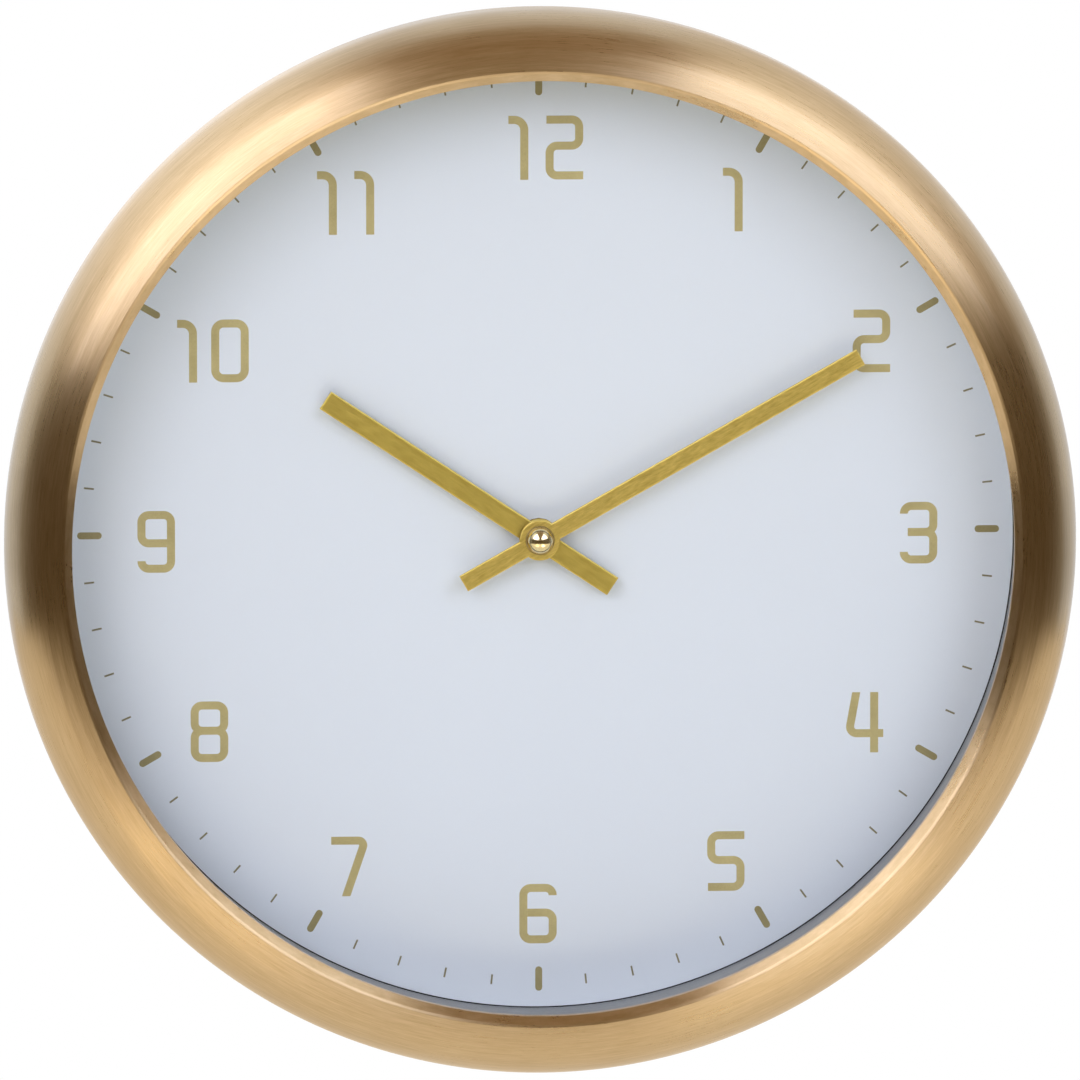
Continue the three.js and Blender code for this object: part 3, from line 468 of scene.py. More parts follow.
# Where the hands point, in degrees clockwise from 12
HOUR_POINTS = 303.5
MINUTE_POINTS = 60.4

gold = spun_gold()
minute_gold = hand_gold(
    "minute_gold", MINUTE_POINTS, (0.515, 0.374, 0.080, 1), (0.745, 0.562, 0.150, 1), grain=0.7)
hour_gold = hand_gold(
    "hour_gold", HOUR_POINTS, (0.513, 0.385, 0.078, 1), (0.618, 0.470, 0.108, 1), grain=0.3)
cap_metal = cap_brass()
brass = turned_brass()
steel = zinc_steel()
ink = print_gold("ink", (0.440, 0.366, 0.152, 1), (0.560, 0.475, 0.212, 1))
# The hour bars' gold print is made darker than the numerals' ink as painted shade from the rim over the
# dial's edge.
bar_ink_with_painted_shade = print_gold("bar_ink_with_painted_shade", (0.300, 0.252, 0.108, 1), (0.390, 0.332, 0.152, 1))
tick_ink = print_gold("tick_ink", (0.205, 0.185, 0.100, 1), (0.265, 0.238, 0.130, 1))
ring_grey = moulded(
    "ring_grey", (0.258, 0.268, 0.270, 1), (0.288, 0.298, 0.300, 1),
    rough=0.5, skin_scale=900.0, grain=0.06, depth=0.00003)
black_case = moulded(
    "black_case", (0.011, 0.011, 0.012, 1), (0.020, 0.020, 0.022, 1),
    rough=0.52, skin_scale=1500.0, grain=0.5, depth=0.00008, gloss=0.3)
body_grey = moulded(
    "body_grey", (0.020, 0.021, 0.024, 1), (0.032, 0.033, 0.036, 1),
    rough=0.42, skin_scale=2200.0, grain=0.3, depth=0.00005, gloss=0.35)
acetal = moulded(
    "acetal", (0.70, 0.69, 0.64, 1), (0.80, 0.79, 0.75, 1),
    rough=0.42, skin_scale=1800.0, grain=0.12, depth=0.00003)
rubber = moulded(
    "rubber", (0.008, 0.008, 0.009, 1), (0.016, 0.016, 0.017, 1),
    rough=0.78, skin_scale=2600.0, grain=0.4, depth=0.00005)
ferrite = moulded(
    "ferrite", (0.045, 0.047, 0.052, 1), (0.075, 0.077, 0.082, 1),
    rough=0.46, skin_scale=2600.0, grain=0.4, depth=0.00005)

by_slot = {
    "bezel_metal": gold,
    "hand_metal": minute_gold,
    "polished_brass": cap_metal,
    "brass": brass,
    "steel": steel,
    "copper": copper_wire(),
    "magnet": ferrite,
    "lens_glass": clear_lens(),
    "dial_paint": dial_paint(),
    "grey_plastic": ring_grey,
    "black_plastic": black_case,
    "body_plastic": body_grey,
    "white_plastic": acetal,
    "board": circuit_mask(),
    "black_rubber": rubber,
    "battery_skin": cell_skin(),
}
slot_of = {row["node"]: row["material_slot"] for row in frame["record"]["subparts"]}
for node, piece in frame["nodes"].items():
    for place in piece.material_slots:
        place.material = by_slot[slot_of[node]]


# Bezel: the turned section at full smoothness, with a small fillet on each edge of the form

ROLL_WIDTH = CLOCK_RADIUS - ROLL_CENTRE
ROLL_START = math.acos((CREASE_RADIUS - ROLL_CENTRE) / ROLL_WIDTH)
ROLL_DEPTH = (CREASE_HEIGHT - WIDEST_HEIGHT) / math.sin(ROLL_START)
ROLL_STEPS = 48
INNER_ROLL_STEPS = 14


def roll_points(inset, start, end, steps):
    points = []
    for i in range(steps + 1):
        turn = start + (end - start) * i / steps
        x = ROLL_CENTRE + (ROLL_WIDTH - inset) * math.cos(turn)
        points.append((x, WIDEST_HEIGHT + (ROLL_DEPTH - inset) * math.sin(turn)))
    return points


def bezel_piece():
    """The section's corners, each with its fillet, from the lip outward and back inside."""
    corners = [
        ((LIP_RADIUS, LIP_BACK), 0),
        ((LIP_RADIUS, LIP_FRONT), 0.25),
        ((LIP_RADIUS + BEVEL_OUT, LIP_FRONT + BEVEL_UP), 0.5),
        ((CREST_RADIUS, CREST_HEIGHT), 0.8),
        (SLOPE_MIDDLE, 12.0),
        ((CREASE_RADIUS, CREASE_HEIGHT), 0.7),
    ]
    # The roll's first two points lie within the crease's fillet
    corners += [(point, 0) for point in roll_points(0, ROLL_START, 0, ROLL_STEPS)[2:]]
    corners += [
        (SKIRT_HIGH, 30.0),
        (SKIRT_LOW, 30.0),
        ((FOOT_RADIUS, FOOT_HEIGHT), 0.35),
        ((FOOT_INSIDE, FOOT_HEIGHT), 0.35),
        ((FOOT_INSIDE, FLANGE_BACK), 0),
        ((FLANGE_INSIDE, FLANGE_BACK), 0),
        ((FLANGE_INSIDE, FLANGE_FRONT), 0),
        ((FOOT_INSIDE, FLANGE_FRONT), 0),
        (SKIRT_INSIDE, 0),
    ]
    corners += [(point, 0) for point in roll_points(SHEET, 0, ROLL_START, INNER_ROLL_STEPS)]
    corners.append(((LIP_ROOT, LIP_BACK), 0))
    points = [point for point, _ in corners]
    fillets = [fillet for _, fillet in corners]
    profile = rounded(points, fillets, steps=6, closed=True)
    bm = revolve(profile, LARGE_ROUND)
    return finish_mesh(bm, "bezel_spun", gold, "case", 50)


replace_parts(bezel_piece(), "bezel")


# Inner ring: smooth, with a small fillet at its front edge

def ring_piece():
    points = [
        (RING_INSIDE, RING_BACK),
        (RING_OUTSIDE, RING_BACK),
        (RING_OUTSIDE, RING_FRONT),
        (RING_INSIDE, RING_FRONT),
    ]
    profile = rounded(points, [0.15, 0.15, 0.15, 0.4], steps=4, closed=True)
    bm = revolve(profile, LARGE_ROUND)
    return finish_mesh(bm, "spacer_ring", ring_grey, "case", 40)


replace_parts(ring_piece(), "inner_ring")


# Printing on the dial

PRINT_FACE = DIAL_FACE + 0.03
STROKE = 2.3
CORNER = 2.1
SHARPEST_TURN = 0.3
SAME_POINT = 1e-6


def ribbon(bm, path, width, height, closed=False, cuts=(None, None)):
    """A flat band along a path on the dial, with a thin edge. cuts may give its cut ends' directions."""
    count = len(path)
    left = []
    right = []
    for i in range(count):
        here = Vector(path[i])
        before = Vector(path[i - 1] if closed else path[max(i - 1, 0)])
        after = Vector(path[(i + 1) % count] if closed else path[min(i + 1, count - 1)])
        into = here - before if (here - before).length > SAME_POINT else after - here
        into.normalize()
        out = (after - here).normalized() if (after - here).length > SAME_POINT else into
        side = left_of((into + out).normalized())
        reach = width / 2 / max(side.dot(left_of(into)), SHARPEST_TURN)
        cut = cuts[0] if i == 0 else cuts[1] if i == count - 1 else None
        if cut is not None:
            square = side
            side = Vector(cut).normalized()
            if side.dot(square) < 0:
                side = -side
            reach = width / 2 / side.dot(square)
        left.append(here + side * reach)
        right.append(here - side * reach)
    tops = [loop_at(bm, line, height) for line in (left, right)]
    feet = [loop_at(bm, line, DIAL_FACE) for line in (left, right)]
    spans = count if closed else count - 1
    for i in range(spans):
        k = (i + 1) % count
        bm.faces.new((tops[0][i], tops[0][k], tops[1][k], tops[1][i]))
        bm.faces.new((tops[0][i], feet[0][i], feet[0][k], tops[0][k]))
        bm.faces.new((tops[1][i], tops[1][k], feet[1][k], feet[1][i]))
    if not closed:
        for i in (0, count - 1):
            bm.faces.new((tops[0][i], tops[1][i], feet[1][i], feet[0][i]))


def stroke(*points, corner=CORNER, closed=False, cuts=(None, None)):
    """One stroke of a numeral: its line, the radius at the line's corners, and how it ends."""
    return points, corner, closed, cuts


# Each numeral is a few strokes in a cell 10.7 mm wide and 17.7 mm high, about the cell's middle.
# HALF and TOP are where the strokes' middle lines run, OUTER is the cell's own edge.
HALF = 4.2
TOP = 7.7
OUTER = TOP + STROKE / 2
LEVEL = (1, 0)
DIGITS = {
    "0": [stroke((-HALF, TOP), (HALF, TOP), (HALF, -TOP), (-HALF, -TOP), corner=2.4, closed=True)],
    "1": [stroke((-4.5, TOP), (0, TOP), (0, -OUTER), corner=2.9)],
    "2": [stroke((-5.1, TOP), (HALF, TOP), (HALF, 0.5), (-HALF, 0.5), (-HALF, -TOP), (5.35, -TOP))],
    "3": [
        stroke((-HALF, 5.5), (-HALF, TOP), (HALF, TOP), (HALF, 0.2), (-3.1, 0.2)),
        stroke((-3.1, 0.2), (HALF, 0.2), (HALF, -TOP), (-HALF, -TOP), (-HALF, -5.5)),
    ],
    "4": [
        stroke((-2.4, OUTER), (-4.5, -3.2), (5.35, -3.2), corner=1.9, cuts=(LEVEL, None)),
        stroke((2.75, OUTER), (2.75, -OUTER), corner=0),
    ],
    "5": [stroke((5.3, TOP), (-HALF, TOP), (-HALF, 0.3), (HALF, 0.3), (HALF, -TOP), (-5.1, -TOP))],
    "6": [
        stroke(
            (HALF, 5.5), (HALF, TOP), (-HALF, TOP), (-HALF, -TOP),
            (HALF, -TOP), (HALF, 0.3), (-3.04, 0.3)),
    ],
    "7": [stroke((-5.35, TOP), (4.35, TOP), (-1.1, -OUTER), corner=1.4, cuts=(None, LEVEL))],
    "8": [
        stroke((-HALF, TOP), (HALF, TOP), (HALF, 0.3), (-HALF, 0.3), closed=True),
        stroke((-HALF, 0.3), (HALF, 0.3), (HALF, -TOP), (-HALF, -TOP), closed=True),
    ],
    "9": [
        stroke(
            (3.04, -0.4), (-HALF, -0.4), (-HALF, TOP), (HALF, TOP),
            (HALF, -TOP), (-HALF, -TOP), (-HALF, -5.5)),
    ],
}

# Where each numeral stands, in millimetres from the hands' axis, and its digits' own places
NUMERALS = {
    12: ((2.1, 111.6), (("1", -6.2), ("2", 5.2))),
    1: ((55.2, 96.4), (("1", 1.7),)),
    2: ((94.8, 55.6), (("2", 0.0),)),
    3: ((108.4, 0.4), (("3", 0.0),)),
    4: ((93.1, -54.1), (("4", 0.0),)),
    5: ((53.5, -93.8), (("5", 0.0),)),
    6: ((-0.2, -108.5), (("6", 0.0),)),
    7: ((-53.9, -94.4), (("7", 0.0),)),
    8: ((-93.9, -55.2), (("8", 0.0),)),
    9: ((-108.9, -0.5), (("9", 0.0),)),
    10: ((-92.8, 54.1), (("1", -5.5), ("0", 5.0))),
    11: ((-54.8, 96.2), (("1", -3.7), ("1", 6.9))),
}

# The numerals are a little taller towards 12, and a numeral's later strokes lie a little higher
NUMERAL_STRETCH = 0.036
STROKE_STEP = 0.004


def numerals_piece():
    bm = bmesh.new()
    for hour, ((cx, cy), digits) in NUMERALS.items():
        tall = 1 + NUMERAL_STRETCH * math.cos(math.radians(30 * hour))
        for digit, dx in digits:
            for k, (points, corner, closed, cuts) in enumerate(DIGITS[digit]):
                flat = [(x, y * tall) for x, y in points]
                path = rounded(flat, [corner] * len(flat), steps=8, closed=closed)
                path = [(cx + dx + x, cy + y) for x, y in path]
                ribbon(bm, path, STROKE, PRINT_FACE + STROKE_STEP * k, closed, cuts)
    return finish_mesh(bm, "dial_numerals", ink, "case", 30)


# The minute track stands a little above the hands' axis and is a little taller than wide, as the
# numerals are
TRACK_RISE = 1.4
TRACK_TALL = 1.006
BAR_MIDDLE = 127.9
BAR_REACH = 2.5
BAR_ROUND = 1.0
BAR_STEPS = 12
TICK_MIDDLE = 128.7
TICK_REACH = 1.42
TICK_WIDTH = 0.52


def track_line(middle, reach, minute):
    """The inner and outer end of a mark on the minute track."""
    ends = []
    for radius in (middle - reach, middle + reach):
        x, y = polar(radius, 90 - 6 * minute)
        ends.append(Vector((x, y * TRACK_TALL + TRACK_RISE)))
    return ends


def bars_piece():
    """Hour bars with round ends."""
    bm = bmesh.new()
    for minute in range(0, 60, 5):
        inner, outer = track_line(BAR_MIDDLE, BAR_REACH, minute)
        way = (outer - inner).normalized()
        side = left_of(way)
        outline = []
        for end, sign in ((outer, BAR_ROUND), (inner, -BAR_ROUND)):
            for i in range(BAR_STEPS + 1):
                turn = math.pi * i / BAR_STEPS
                outline.append(end + side * (sign * math.cos(turn)) + way * (sign * math.sin(turn)))
        top = loop_at(bm, outline, PRINT_FACE)
        foot = loop_at(bm, outline, DIAL_FACE)
        bm.faces.new(top)
        wall_between(bm, foot, top)
    return finish_mesh(bm, "dial_hour_bars", bar_ink_with_painted_shade, "case", 30)


def ticks_piece():
    bm = bmesh.new()
    for minute in range(60):
        if minute % 5:
            ribbon(bm, track_line(TICK_MIDDLE, TICK_REACH, minute), TICK_WIDTH, PRINT_FACE)
    return finish_mesh(bm, "dial_minute_ticks", tick_ink, "case", 30)


numerals_piece()
bars_piece()
ticks_piece()


# Painted shadow: a thin dark ring on the dial where it meets the ring's foot, standing for the shadow in
# the gap there

SHADOW_LINE_INSIDE = 135.3
SHADOW_LINE_RISE = 0.04


def shadow_line_piece():
    profile = [
        (SHADOW_LINE_INSIDE, DIAL_FACE),
        (SHADOW_LINE_INSIDE, DIAL_FACE + SHADOW_LINE_RISE),
        (RING_INSIDE, DIAL_FACE + SHADOW_LINE_RISE),
        (RING_INSIDE, DIAL_FACE),
    ]
    bm = revolve(profile, LARGE_ROUND)
    # The ring's dark rubber colour is painted shadow, not a part of the clock.
    return finish_mesh(bm, "dial_painted_shadow_line", rubber, "case", 40)


shadow_line_piece()


# Hands: stamped sheet with a fine sloping edge all round its face

HUB_RADIUS = 5.8
HAND_TAIL = 25
HAND_THICKNESS = 0.8
HUB_STEPS = 28

# The edge of a hand's face: how far below the face, and how far inward
HAND_EDGE = [(0.20, 0.0), (0.11, 0.03), (0.0, 0.36)]


def hand_piece(name, node, length, width, points_to, bore, back, material, body):
    half = width / 2
    turn = math.degrees(math.asin(half / HUB_RADIUS))
    outline = [(length, -half), (length, half)]
    outline += arc_points(AXIS, HUB_RADIUS, turn, 180 - turn, HUB_STEPS)
    outline += [(-HAND_TAIL, half), (-HAND_TAIL, -half)]
    outline += arc_points(AXIS, HUB_RADIUS, 180 + turn, 360 - turn, HUB_STEPS)
    hole = spun(arc_points(AXIS, bore, 360, 0, HOLE_ROUND)[:-1], 90 - points_to)
    front = back + HAND_THICKNESS
    bm = bmesh.new()
    rows = [loop_at(bm, spun(outline, 90 - points_to), back)]
    for drop, inset in HAND_EDGE:
        line = shrunk(outline, inset) if inset else outline
        rows.append(loop_at(bm, spun(line, 90 - points_to), front - drop))
    for a, b in zip(rows, rows[1:]):
        wall_between(bm, a, b)
    hole_back = loop_at(bm, hole, back)
    hole_front = loop_at(bm, hole, front)
    wall_between(bm, hole_back, hole_front)
    fill_between(bm, [rows[-1], hole_front])
    fill_between(bm, [rows[0], hole_back])
    piece = finish_mesh(bm, name, material, body, 10)
    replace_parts(piece, node)


hand_piece(
    "hour_hand_sheet", "hour_hand", length=73, width=5.9, points_to=HOUR_POINTS,
    bore=2.7, back=27.6, material=hour_gold, body="hour_hand")
hand_piece(
    "minute_hand_sheet", "minute_hand", length=105, width=5.0, points_to=MINUTE_POINTS,
    bore=1.3, back=30.0, material=minute_gold, body="minute_hand")


# Cap: a polished dome on a turned seat

CAP_RADIUS = 3.6
CAP_BORE = 1.3
CAP_BACK = 31.1
CAP_SHOULDER = 32.5
CAP_RISE = 2.2
CAP_STEPS = 24
BORE_END = 33.5


def cap_piece():
    profile = [(CAP_BORE, CAP_BACK), (CAP_RADIUS, CAP_BACK), (CAP_RADIUS, CAP_SHOULDER)]
    for i in range(1, CAP_STEPS):
        turn = math.pi / 2 * i / CAP_STEPS
        profile.append((CAP_RADIUS * math.cos(turn), CAP_SHOULDER + CAP_RISE * math.sin(turn)))
    profile += [(0.0, CAP_SHOULDER + CAP_RISE), (0.0, BORE_END), (CAP_BORE, BORE_END)]
    bm = revolve(profile, CAP_ROUND)
    return finish_mesh(bm, "cap_dome", cap_metal, "minute_hand", 50)


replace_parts(cap_piece(), "hand_cap")


def cap_seat_piece():
    profile = [(2.9, 30.8), (2.9, 31.05), (4.05, 31.05), (4.15, 30.95), (4.15, 30.8)]
    return finish_mesh(revolve(profile, CAP_ROUND), "cap_seat", brass, "minute_hand", 40)


cap_seat_piece()


# Back: hanger plate with a smooth keyhole, cross-head screws, and marks on the movement

HANGER_BACK = 0.6
HANGER_FRONT = 1.8
HANGER_HALF = 18.0
HANGER_BOTTOM = 105.0
HANGER_TOP = 131.0
HANGER_CORNER = 3.0
HANGER_CENTRE = 118.0
HANGER_SCREW_X = 13.0
HANGER_EASE = 0.2
MOUTH_RADIUS = 4.5
MOUTH_DROP = 3.5
SLOT_HALF = 2.5
SLOT_LENGTH = 8.0
HOLE_WIDE = 2.5
HOLE_NARROW = 1.3


def eased_edge(bm, points, inset):
    """The plate's edge from back to front, both its corners taken off. inset is negative round a hole."""
    loops = [
        loop_at(bm, shrunk(points, inset), HANGER_BACK),
        loop_at(bm, points, HANGER_BACK + HANGER_EASE),
        loop_at(bm, points, HANGER_FRONT - HANGER_EASE),
        loop_at(bm, shrunk(points, inset), HANGER_FRONT),
    ]
    for a, b in zip(loops, loops[1:]):
        wall_between(bm, a, b)
    return loops[0], loops[-1]


def hanger_piece():
    corners = [
        (HANGER_HALF, HANGER_BOTTOM),
        (HANGER_HALF, HANGER_TOP),
        (-HANGER_HALF, HANGER_TOP),
        (-HANGER_HALF, HANGER_BOTTOM),
    ]
    outline = rounded(corners, [HANGER_CORNER] * 4, steps=10, closed=True)
    mouth_y = HANGER_CENTRE - MOUTH_DROP
    side = math.degrees(math.acos(SLOT_HALF / MOUTH_RADIUS))
    keyhole = arc_points((0, mouth_y + SLOT_LENGTH), SLOT_HALF, 0, 180, 16)
    keyhole += arc_points((0, mouth_y), MOUTH_RADIUS, 180 - side, 360 + side, 44)
    bm = bmesh.new()
    edges = [eased_edge(bm, outline, HANGER_EASE), eased_edge(bm, keyhole, -HANGER_EASE)]
    for x in (-HANGER_SCREW_X, HANGER_SCREW_X):
        wide = loop_at(bm, circle_points((x, HANGER_CENTRE), HOLE_WIDE, HOLE_ROUND), HANGER_BACK)
        narrow = loop_at(bm, circle_points((x, HANGER_CENTRE), HOLE_NARROW, HOLE_ROUND), HANGER_FRONT)
        wall_between(bm, wide, narrow)
        edges.append((wide, narrow))
    fill_between(bm, [back for back, _ in edges])
    fill_between(bm, [front for _, front in edges])
    piece = finish_mesh(bm, "hanger_smooth", steel, "case", 30)
    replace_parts(piece, "hanger_plate")


hanger_piece()


def cross_points(centre, reach, half, turn):
    """A cross of four arms, anticlockwise."""
    points = []
    for i in range(4):
        arm = spun([(half, -half), (reach, -half), (reach, half)], 90 * i + turn)
        points += [(centre[0] + x, centre[1] + y) for x, y in arm]
    return points


HEAD_EASE = 0.12
HEAD_EDGE = 0.1
POINT_RADIUS = 0.2
POINT_LENGTH = 1.2

# The recess: its arms' reach as a share of the head's radius, and half their width
CROSS_MOUTH = (0.62, 0.30)
CROSS_FOOT = (0.45, 0.22)
CROSS_DEPTH = 0.8


def screw_piece(node, centre, turn, head, shank, low, length):
    """A countersunk screw from its head near the wall to its point."""
    bm = bmesh.new()
    rings = [
        (head - HEAD_EASE, low),
        (head, low + HEAD_EDGE),
        (shank, low + head - shank + HEAD_EDGE),
        (shank, low + length - POINT_LENGTH),
        (POINT_RADIUS, low + length),
    ]
    loops = [loop_at(bm, circle_points(centre, r, SCREW_ROUND), z) for r, z in rings]
    for a, b in zip(loops, loops[1:]):
        wall_between(bm, a, b)
    bm.faces.new(loops[-1])
    mouth, foot = [
        loop_at(bm, cross_points(centre, share * head, half, turn), height)
        for (share, half), height in ((CROSS_MOUTH, low), (CROSS_FOOT, low + CROSS_DEPTH))
    ]
    wall_between(bm, mouth, foot)
    fill_between(bm, [loops[0], mouth])
    fill_between(bm, [foot])
    piece = finish_mesh(bm, node + "_cross_head", steel, "case", 30)
    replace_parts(piece, node)


CASE_SCREW_PLACE = 102.14
CASE_SCREW = {"head": 2.3, "shank": 1.3, "low": 0.2, "length": 6.4}
HANGER_SCREW = {"head": 2.4, "shank": 1.1, "low": 0.6, "length": 8.0}
for i, (x, y) in enumerate(((-1, 1), (-1, -1), (1, -1), (1, 1))):
    place = (x * CASE_SCREW_PLACE, y * CASE_SCREW_PLACE)
    screw_piece(f"case_screw_{i + 1}", place, 20 + 37 * i, **CASE_SCREW)
screw_piece("hanger_screw_1", (-HANGER_SCREW_X, HANGER_CENTRE), 12, **HANGER_SCREW)
screw_piece("hanger_screw_2", (HANGER_SCREW_X, HANGER_CENTRE), 61, **HANGER_SCREW)


KNOB_AT = (-9.981, 14.254)
COVER_BACK = 3.1
BAND_SLOPE = 0.12


def raised_band(bm, path, width, rise, closed=False):
    """A low moulded line on the movement's cover, standing towards the wall."""
    count = len(path)
    half = width / 2
    section = [
        (half, COVER_BACK),
        (half - BAND_SLOPE, COVER_BACK - rise),
        (BAND_SLOPE - half, COVER_BACK - rise),
        (-half, COVER_BACK),
    ]
    rows = []
    for offset, height in section:
        if closed:
            line = shrunk(path, offset)
        else:
            line = []
            for i, point in enumerate(path):
                way = (Vector(path[min(i + 1, count - 1)]) - Vector(path[max(i - 1, 0)])).normalized()
                line.append(Vector(point) + left_of(way) * offset)
        rows.append(loop_at(bm, line, height))
    spans = count if closed else count - 1
    for a, b in zip(rows, rows[1:]):
        for i in range(spans):
            k = (i + 1) % count
            bm.faces.new((a[i], a[k], b[k], b[i]))
    if not closed:
        for i in (0, count - 1):
            bm.faces.new([row[i] for row in rows])


FRAME_SIDE = 26.2
FRAME_LOW = -9.8
FRAME_CORNER = 2.2
FRAME_WIDTH = 0.7
FRAME_RISE = 0.22
KNOB_RING = 6.6
KNOB_RING_WIDTH = 0.7
KNOB_RING_RISE = 0.3
ARROW_RADIUS = 8.6
ARROW_WIDTH = 0.55
ARROW_HEAD = 1.7
ARROW_SPREAD = 1.0
HEAD_WIDTH = 0.5
SIGN_X = 20.8
SIGN_Y = -7.2
SIGN_REACH = 1.6
SIGN_WIDTH = 0.6
MARK_RISE = 0.2
UPRIGHT_RISE = 0.21  # a hair more, so the plus's two bars share no face


def cover_marks_piece():
    """A frame, a ring and two turning arrows round the knob, and a plus and a minus at the battery."""
    bm = bmesh.new()
    corners = [
        (FRAME_SIDE, FRAME_LOW),
        (FRAME_SIDE, FRAME_SIDE),
        (-FRAME_SIDE, FRAME_SIDE),
        (-FRAME_SIDE, FRAME_LOW),
    ]
    frame_line = rounded(corners, [FRAME_CORNER] * 4, steps=6, closed=True)
    raised_band(bm, frame_line, FRAME_WIDTH, FRAME_RISE, closed=True)
    knob_line = circle_points(KNOB_AT, KNOB_RING, KNOB_ROUND)
    raised_band(bm, knob_line, KNOB_RING_WIDTH, KNOB_RING_RISE, closed=True)
    for start, end in ((25, 75), (155, 105)):
        raised_band(bm, arc_points(KNOB_AT, ARROW_RADIUS, start, end, 14), ARROW_WIDTH, MARK_RISE)
        tip = Vector(KNOB_AT) + Vector(polar(ARROW_RADIUS, end))
        way = 1 if end > start else -1
        back = Vector(polar(ARROW_HEAD, end - 90 * way))
        side = Vector(polar(ARROW_SPREAD, end))
        for sign in (-1, 1):
            raised_band(bm, [tip + back + side * sign, tip], HEAD_WIDTH, MARK_RISE)
    plus = [(SIGN_X - SIGN_REACH, SIGN_Y), (SIGN_X + SIGN_REACH, SIGN_Y)]
    upright = [(SIGN_X, SIGN_Y - SIGN_REACH), (SIGN_X, SIGN_Y + SIGN_REACH)]
    minus = [(-SIGN_X - SIGN_REACH, SIGN_Y), (-SIGN_X + SIGN_REACH, SIGN_Y)]
    raised_band(bm, plus, SIGN_WIDTH, MARK_RISE)
    raised_band(bm, upright, SIGN_WIDTH, UPRIGHT_RISE)
    raised_band(bm, minus, SIGN_WIDTH, MARK_RISE)
    return finish_mesh(bm, "cover_marks", body_grey, "case", 30)


cover_marks_piece()


def knob_face_piece():
    profile = [(2.9, 0.8), (3.05, 0.62), (3.75, 0.62), (3.9, 0.8)]
    bm = revolve(profile, KNOB_ROUND, KNOB_AT)
    return finish_mesh(bm, "knob_face_ring", acetal, "setting_knob", 40)


knob_face_piece()


# Floor: pale paper, which metal sees as one plain pale colour. In metres.

FLOOR_SIDE = 2.0
FLOOR_FRONT = -0.80
FLOOR_BACK = 2.0
FLOOR_HEIGHT = -0.62


def floor_paper():
    n = Surface("floor_paper")
    grain = n.noise(n.place(), 300.0, 3.0)
    n.base(Base_Color=n.blend(grain, (0.86, 0.86, 0.85, 1), (0.90, 0.90, 0.89, 1)), Roughness=0.8)
    mirrored = n.put("ShaderNodeEmission", {"Color": (0.96, 0.93, 0.84, 1), "Strength": 1.0}).outputs[0]
    glossy = n.put("ShaderNodeLightPath").outputs["Is Glossy Ray"]
    both = n.put("ShaderNodeMixShader", {0: glossy, 1: n.shader.outputs[0], 2: mirrored})
    n.feed(n.output.inputs[0], both.outputs[0])
    return n.material


def stage_floor():
    bm = bmesh.new()
    corners = [
        (-FLOOR_SIDE, FLOOR_FRONT),
        (FLOOR_SIDE, FLOOR_FRONT),
        (FLOOR_SIDE, FLOOR_BACK),
        (-FLOOR_SIDE, FLOOR_BACK),
    ]
    bm.faces.new([bm.verts.new((x, y, FLOOR_HEIGHT)) for x, y in corners])
    floor = object_from(bm, "floor", floor_paper())


stage_floor()


# World: the only light, a plain studio of soft zones, and white to the camera

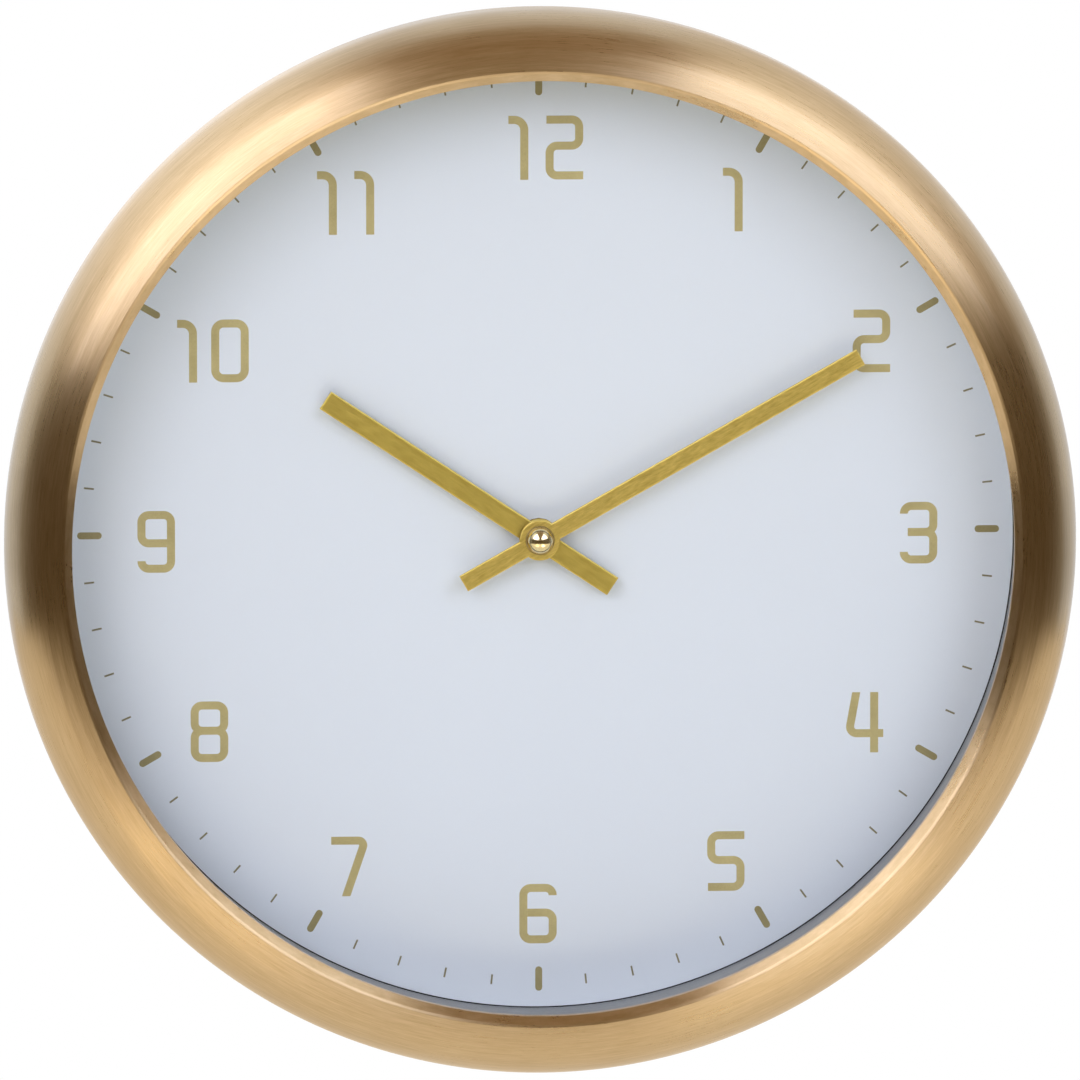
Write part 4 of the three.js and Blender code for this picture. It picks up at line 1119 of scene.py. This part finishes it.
def build_world():
    world = bpy.data.worlds.new("studio")
    world.use_nodes = True
    bpy.context.scene.world = world
    n = Nodes(world.node_tree)

    def ramp(value, low, high, to_low=0.0, to_high=1.0):
        return n.stretch(value, low, high, to_low, to_high, interpolation_type="SMOOTHSTEP")

    def both(a, b):
        return n.math("MULTIPLY", a, b)

    def between(value, low, high, soft):
        rise = ramp(value, low - soft, low + soft)
        fall = ramp(value, high - soft, high + soft, 1.0, 0.0)
        return both(rise, fall)

    x, y, z = n.split(n.put("ShaderNodeTexCoord").outputs["Generated"])
    turn = n.math("ARCTAN2", z, x)

    def sector(start, end, soft):
        """Directions whose turn about the clock's axis lies between two angles in degrees."""
        return between(turn, math.radians(start), math.radians(end), soft)

    def wash(start, full, fading, end):
        """As a sector, but with long soft sides."""
        rise = ramp(turn, math.radians(start), math.radians(full))
        fall = ramp(turn, math.radians(fading), math.radians(end), 1.0, 0.0)
        return both(rise, fall)

    # y runs from -1 straight out of the clock's face to 1 behind it, and z from -1 below to 1 above
    high_front = between(y, -0.975, -0.60, 0.03)
    low_front = between(y, -0.90, -0.70, 0.05)
    beside = ramp(y, -0.63, -0.55)
    behind = ramp(y, 0.10, 0.38)
    top_side = ramp(z, 0.15, 0.45)
    floor_side = ramp(z, -0.35, -0.27, 1.0, 0.0)
    left_panel = both(sector(111, 166, 0.03), high_front)
    right_panel = both(sector(17, 65, 0.05), high_front)
    left_wash = both(wash(106, 128, 138, 178), beside)
    right_wash = both(wash(15, 50, 58, 74), beside)
    low_left = both(sector(-133, -105, 0.08), low_front)
    low_right = both(sector(-75, -47, 0.08), low_front)
    camera_ray = n.put("ShaderNodeLightPath").outputs["Is Camera Ray"]
    zones = [
        (top_side, (0.29, 0.20, 0.115, 1)),
        (behind, (1.02, 1.14, 1.30, 1)),
        (left_wash, (1.22, 1.30, 1.42, 1)),
        (right_wash, (0.86, 0.88, 0.90, 1)),
        (left_panel, (3.20, 3.30, 3.85, 1)),
        (right_panel, (2.52, 2.72, 3.28, 1)),
        (floor_side, (1.24, 1.14, 0.96, 1)),
        (low_left, (3.00, 2.60, 1.85, 1)),
        (low_right, (3.50, 3.35, 2.90, 1)),
        (camera_ray, (1, 1, 1, 1)),
    ]
    colour = (0.100, 0.073, 0.041, 1)
    for zone, tint in zones:
        colour = n.blend(zone, colour, tint)
    shade = n.put("ShaderNodeBackground", {"Color": colour, "Strength": 1.0})
    n.put("ShaderNodeOutputWorld", {0: shade.outputs[0]})


build_world()


# Camera: 8 degrees above the clock's axis and 3.3 degrees to its left, far off

CAMERA_RISE = math.radians(8.0)
CAMERA_TURN = math.radians(-3.3)
CAMERA_DISTANCE = 5.4
CAMERA_LENS = 632.5
CAMERA_CENTRE = Vector((0, 0.0025, 0))
AIM_RIGHT = 0.00037
AIM_DOWN = 0.00083


def build_camera():
    data = bpy.data.cameras.new("camera")
    data.sensor_fit = "HORIZONTAL"
    data.sensor_width = 36.0
    data.lens = CAMERA_LENS
    data.clip_end = 50
    camera = bpy.data.objects.new("camera", data)
    level = math.cos(CAMERA_RISE)
    way = Vector((math.sin(CAMERA_TURN) * level, -math.cos(CAMERA_TURN) * level, math.sin(CAMERA_RISE)))
    right = Vector((math.cos(CAMERA_TURN), math.sin(CAMERA_TURN), 0))
    up = way.cross(right)
    target = CAMERA_CENTRE + right * AIM_RIGHT - up * AIM_DOWN
    camera.location = CAMERA_CENTRE + way * CAMERA_DISTANCE
    look = (target - camera.location).normalized()
    camera.rotation_mode = "QUATERNION"
    camera.rotation_quaternion = look.to_track_quat("-Z", "Y")
    bpy.context.scene.collection.objects.link(camera)
    bpy.context.scene.camera = camera


build_camera()

bpy.context.scene.view_settings.view_transform = "Standard"
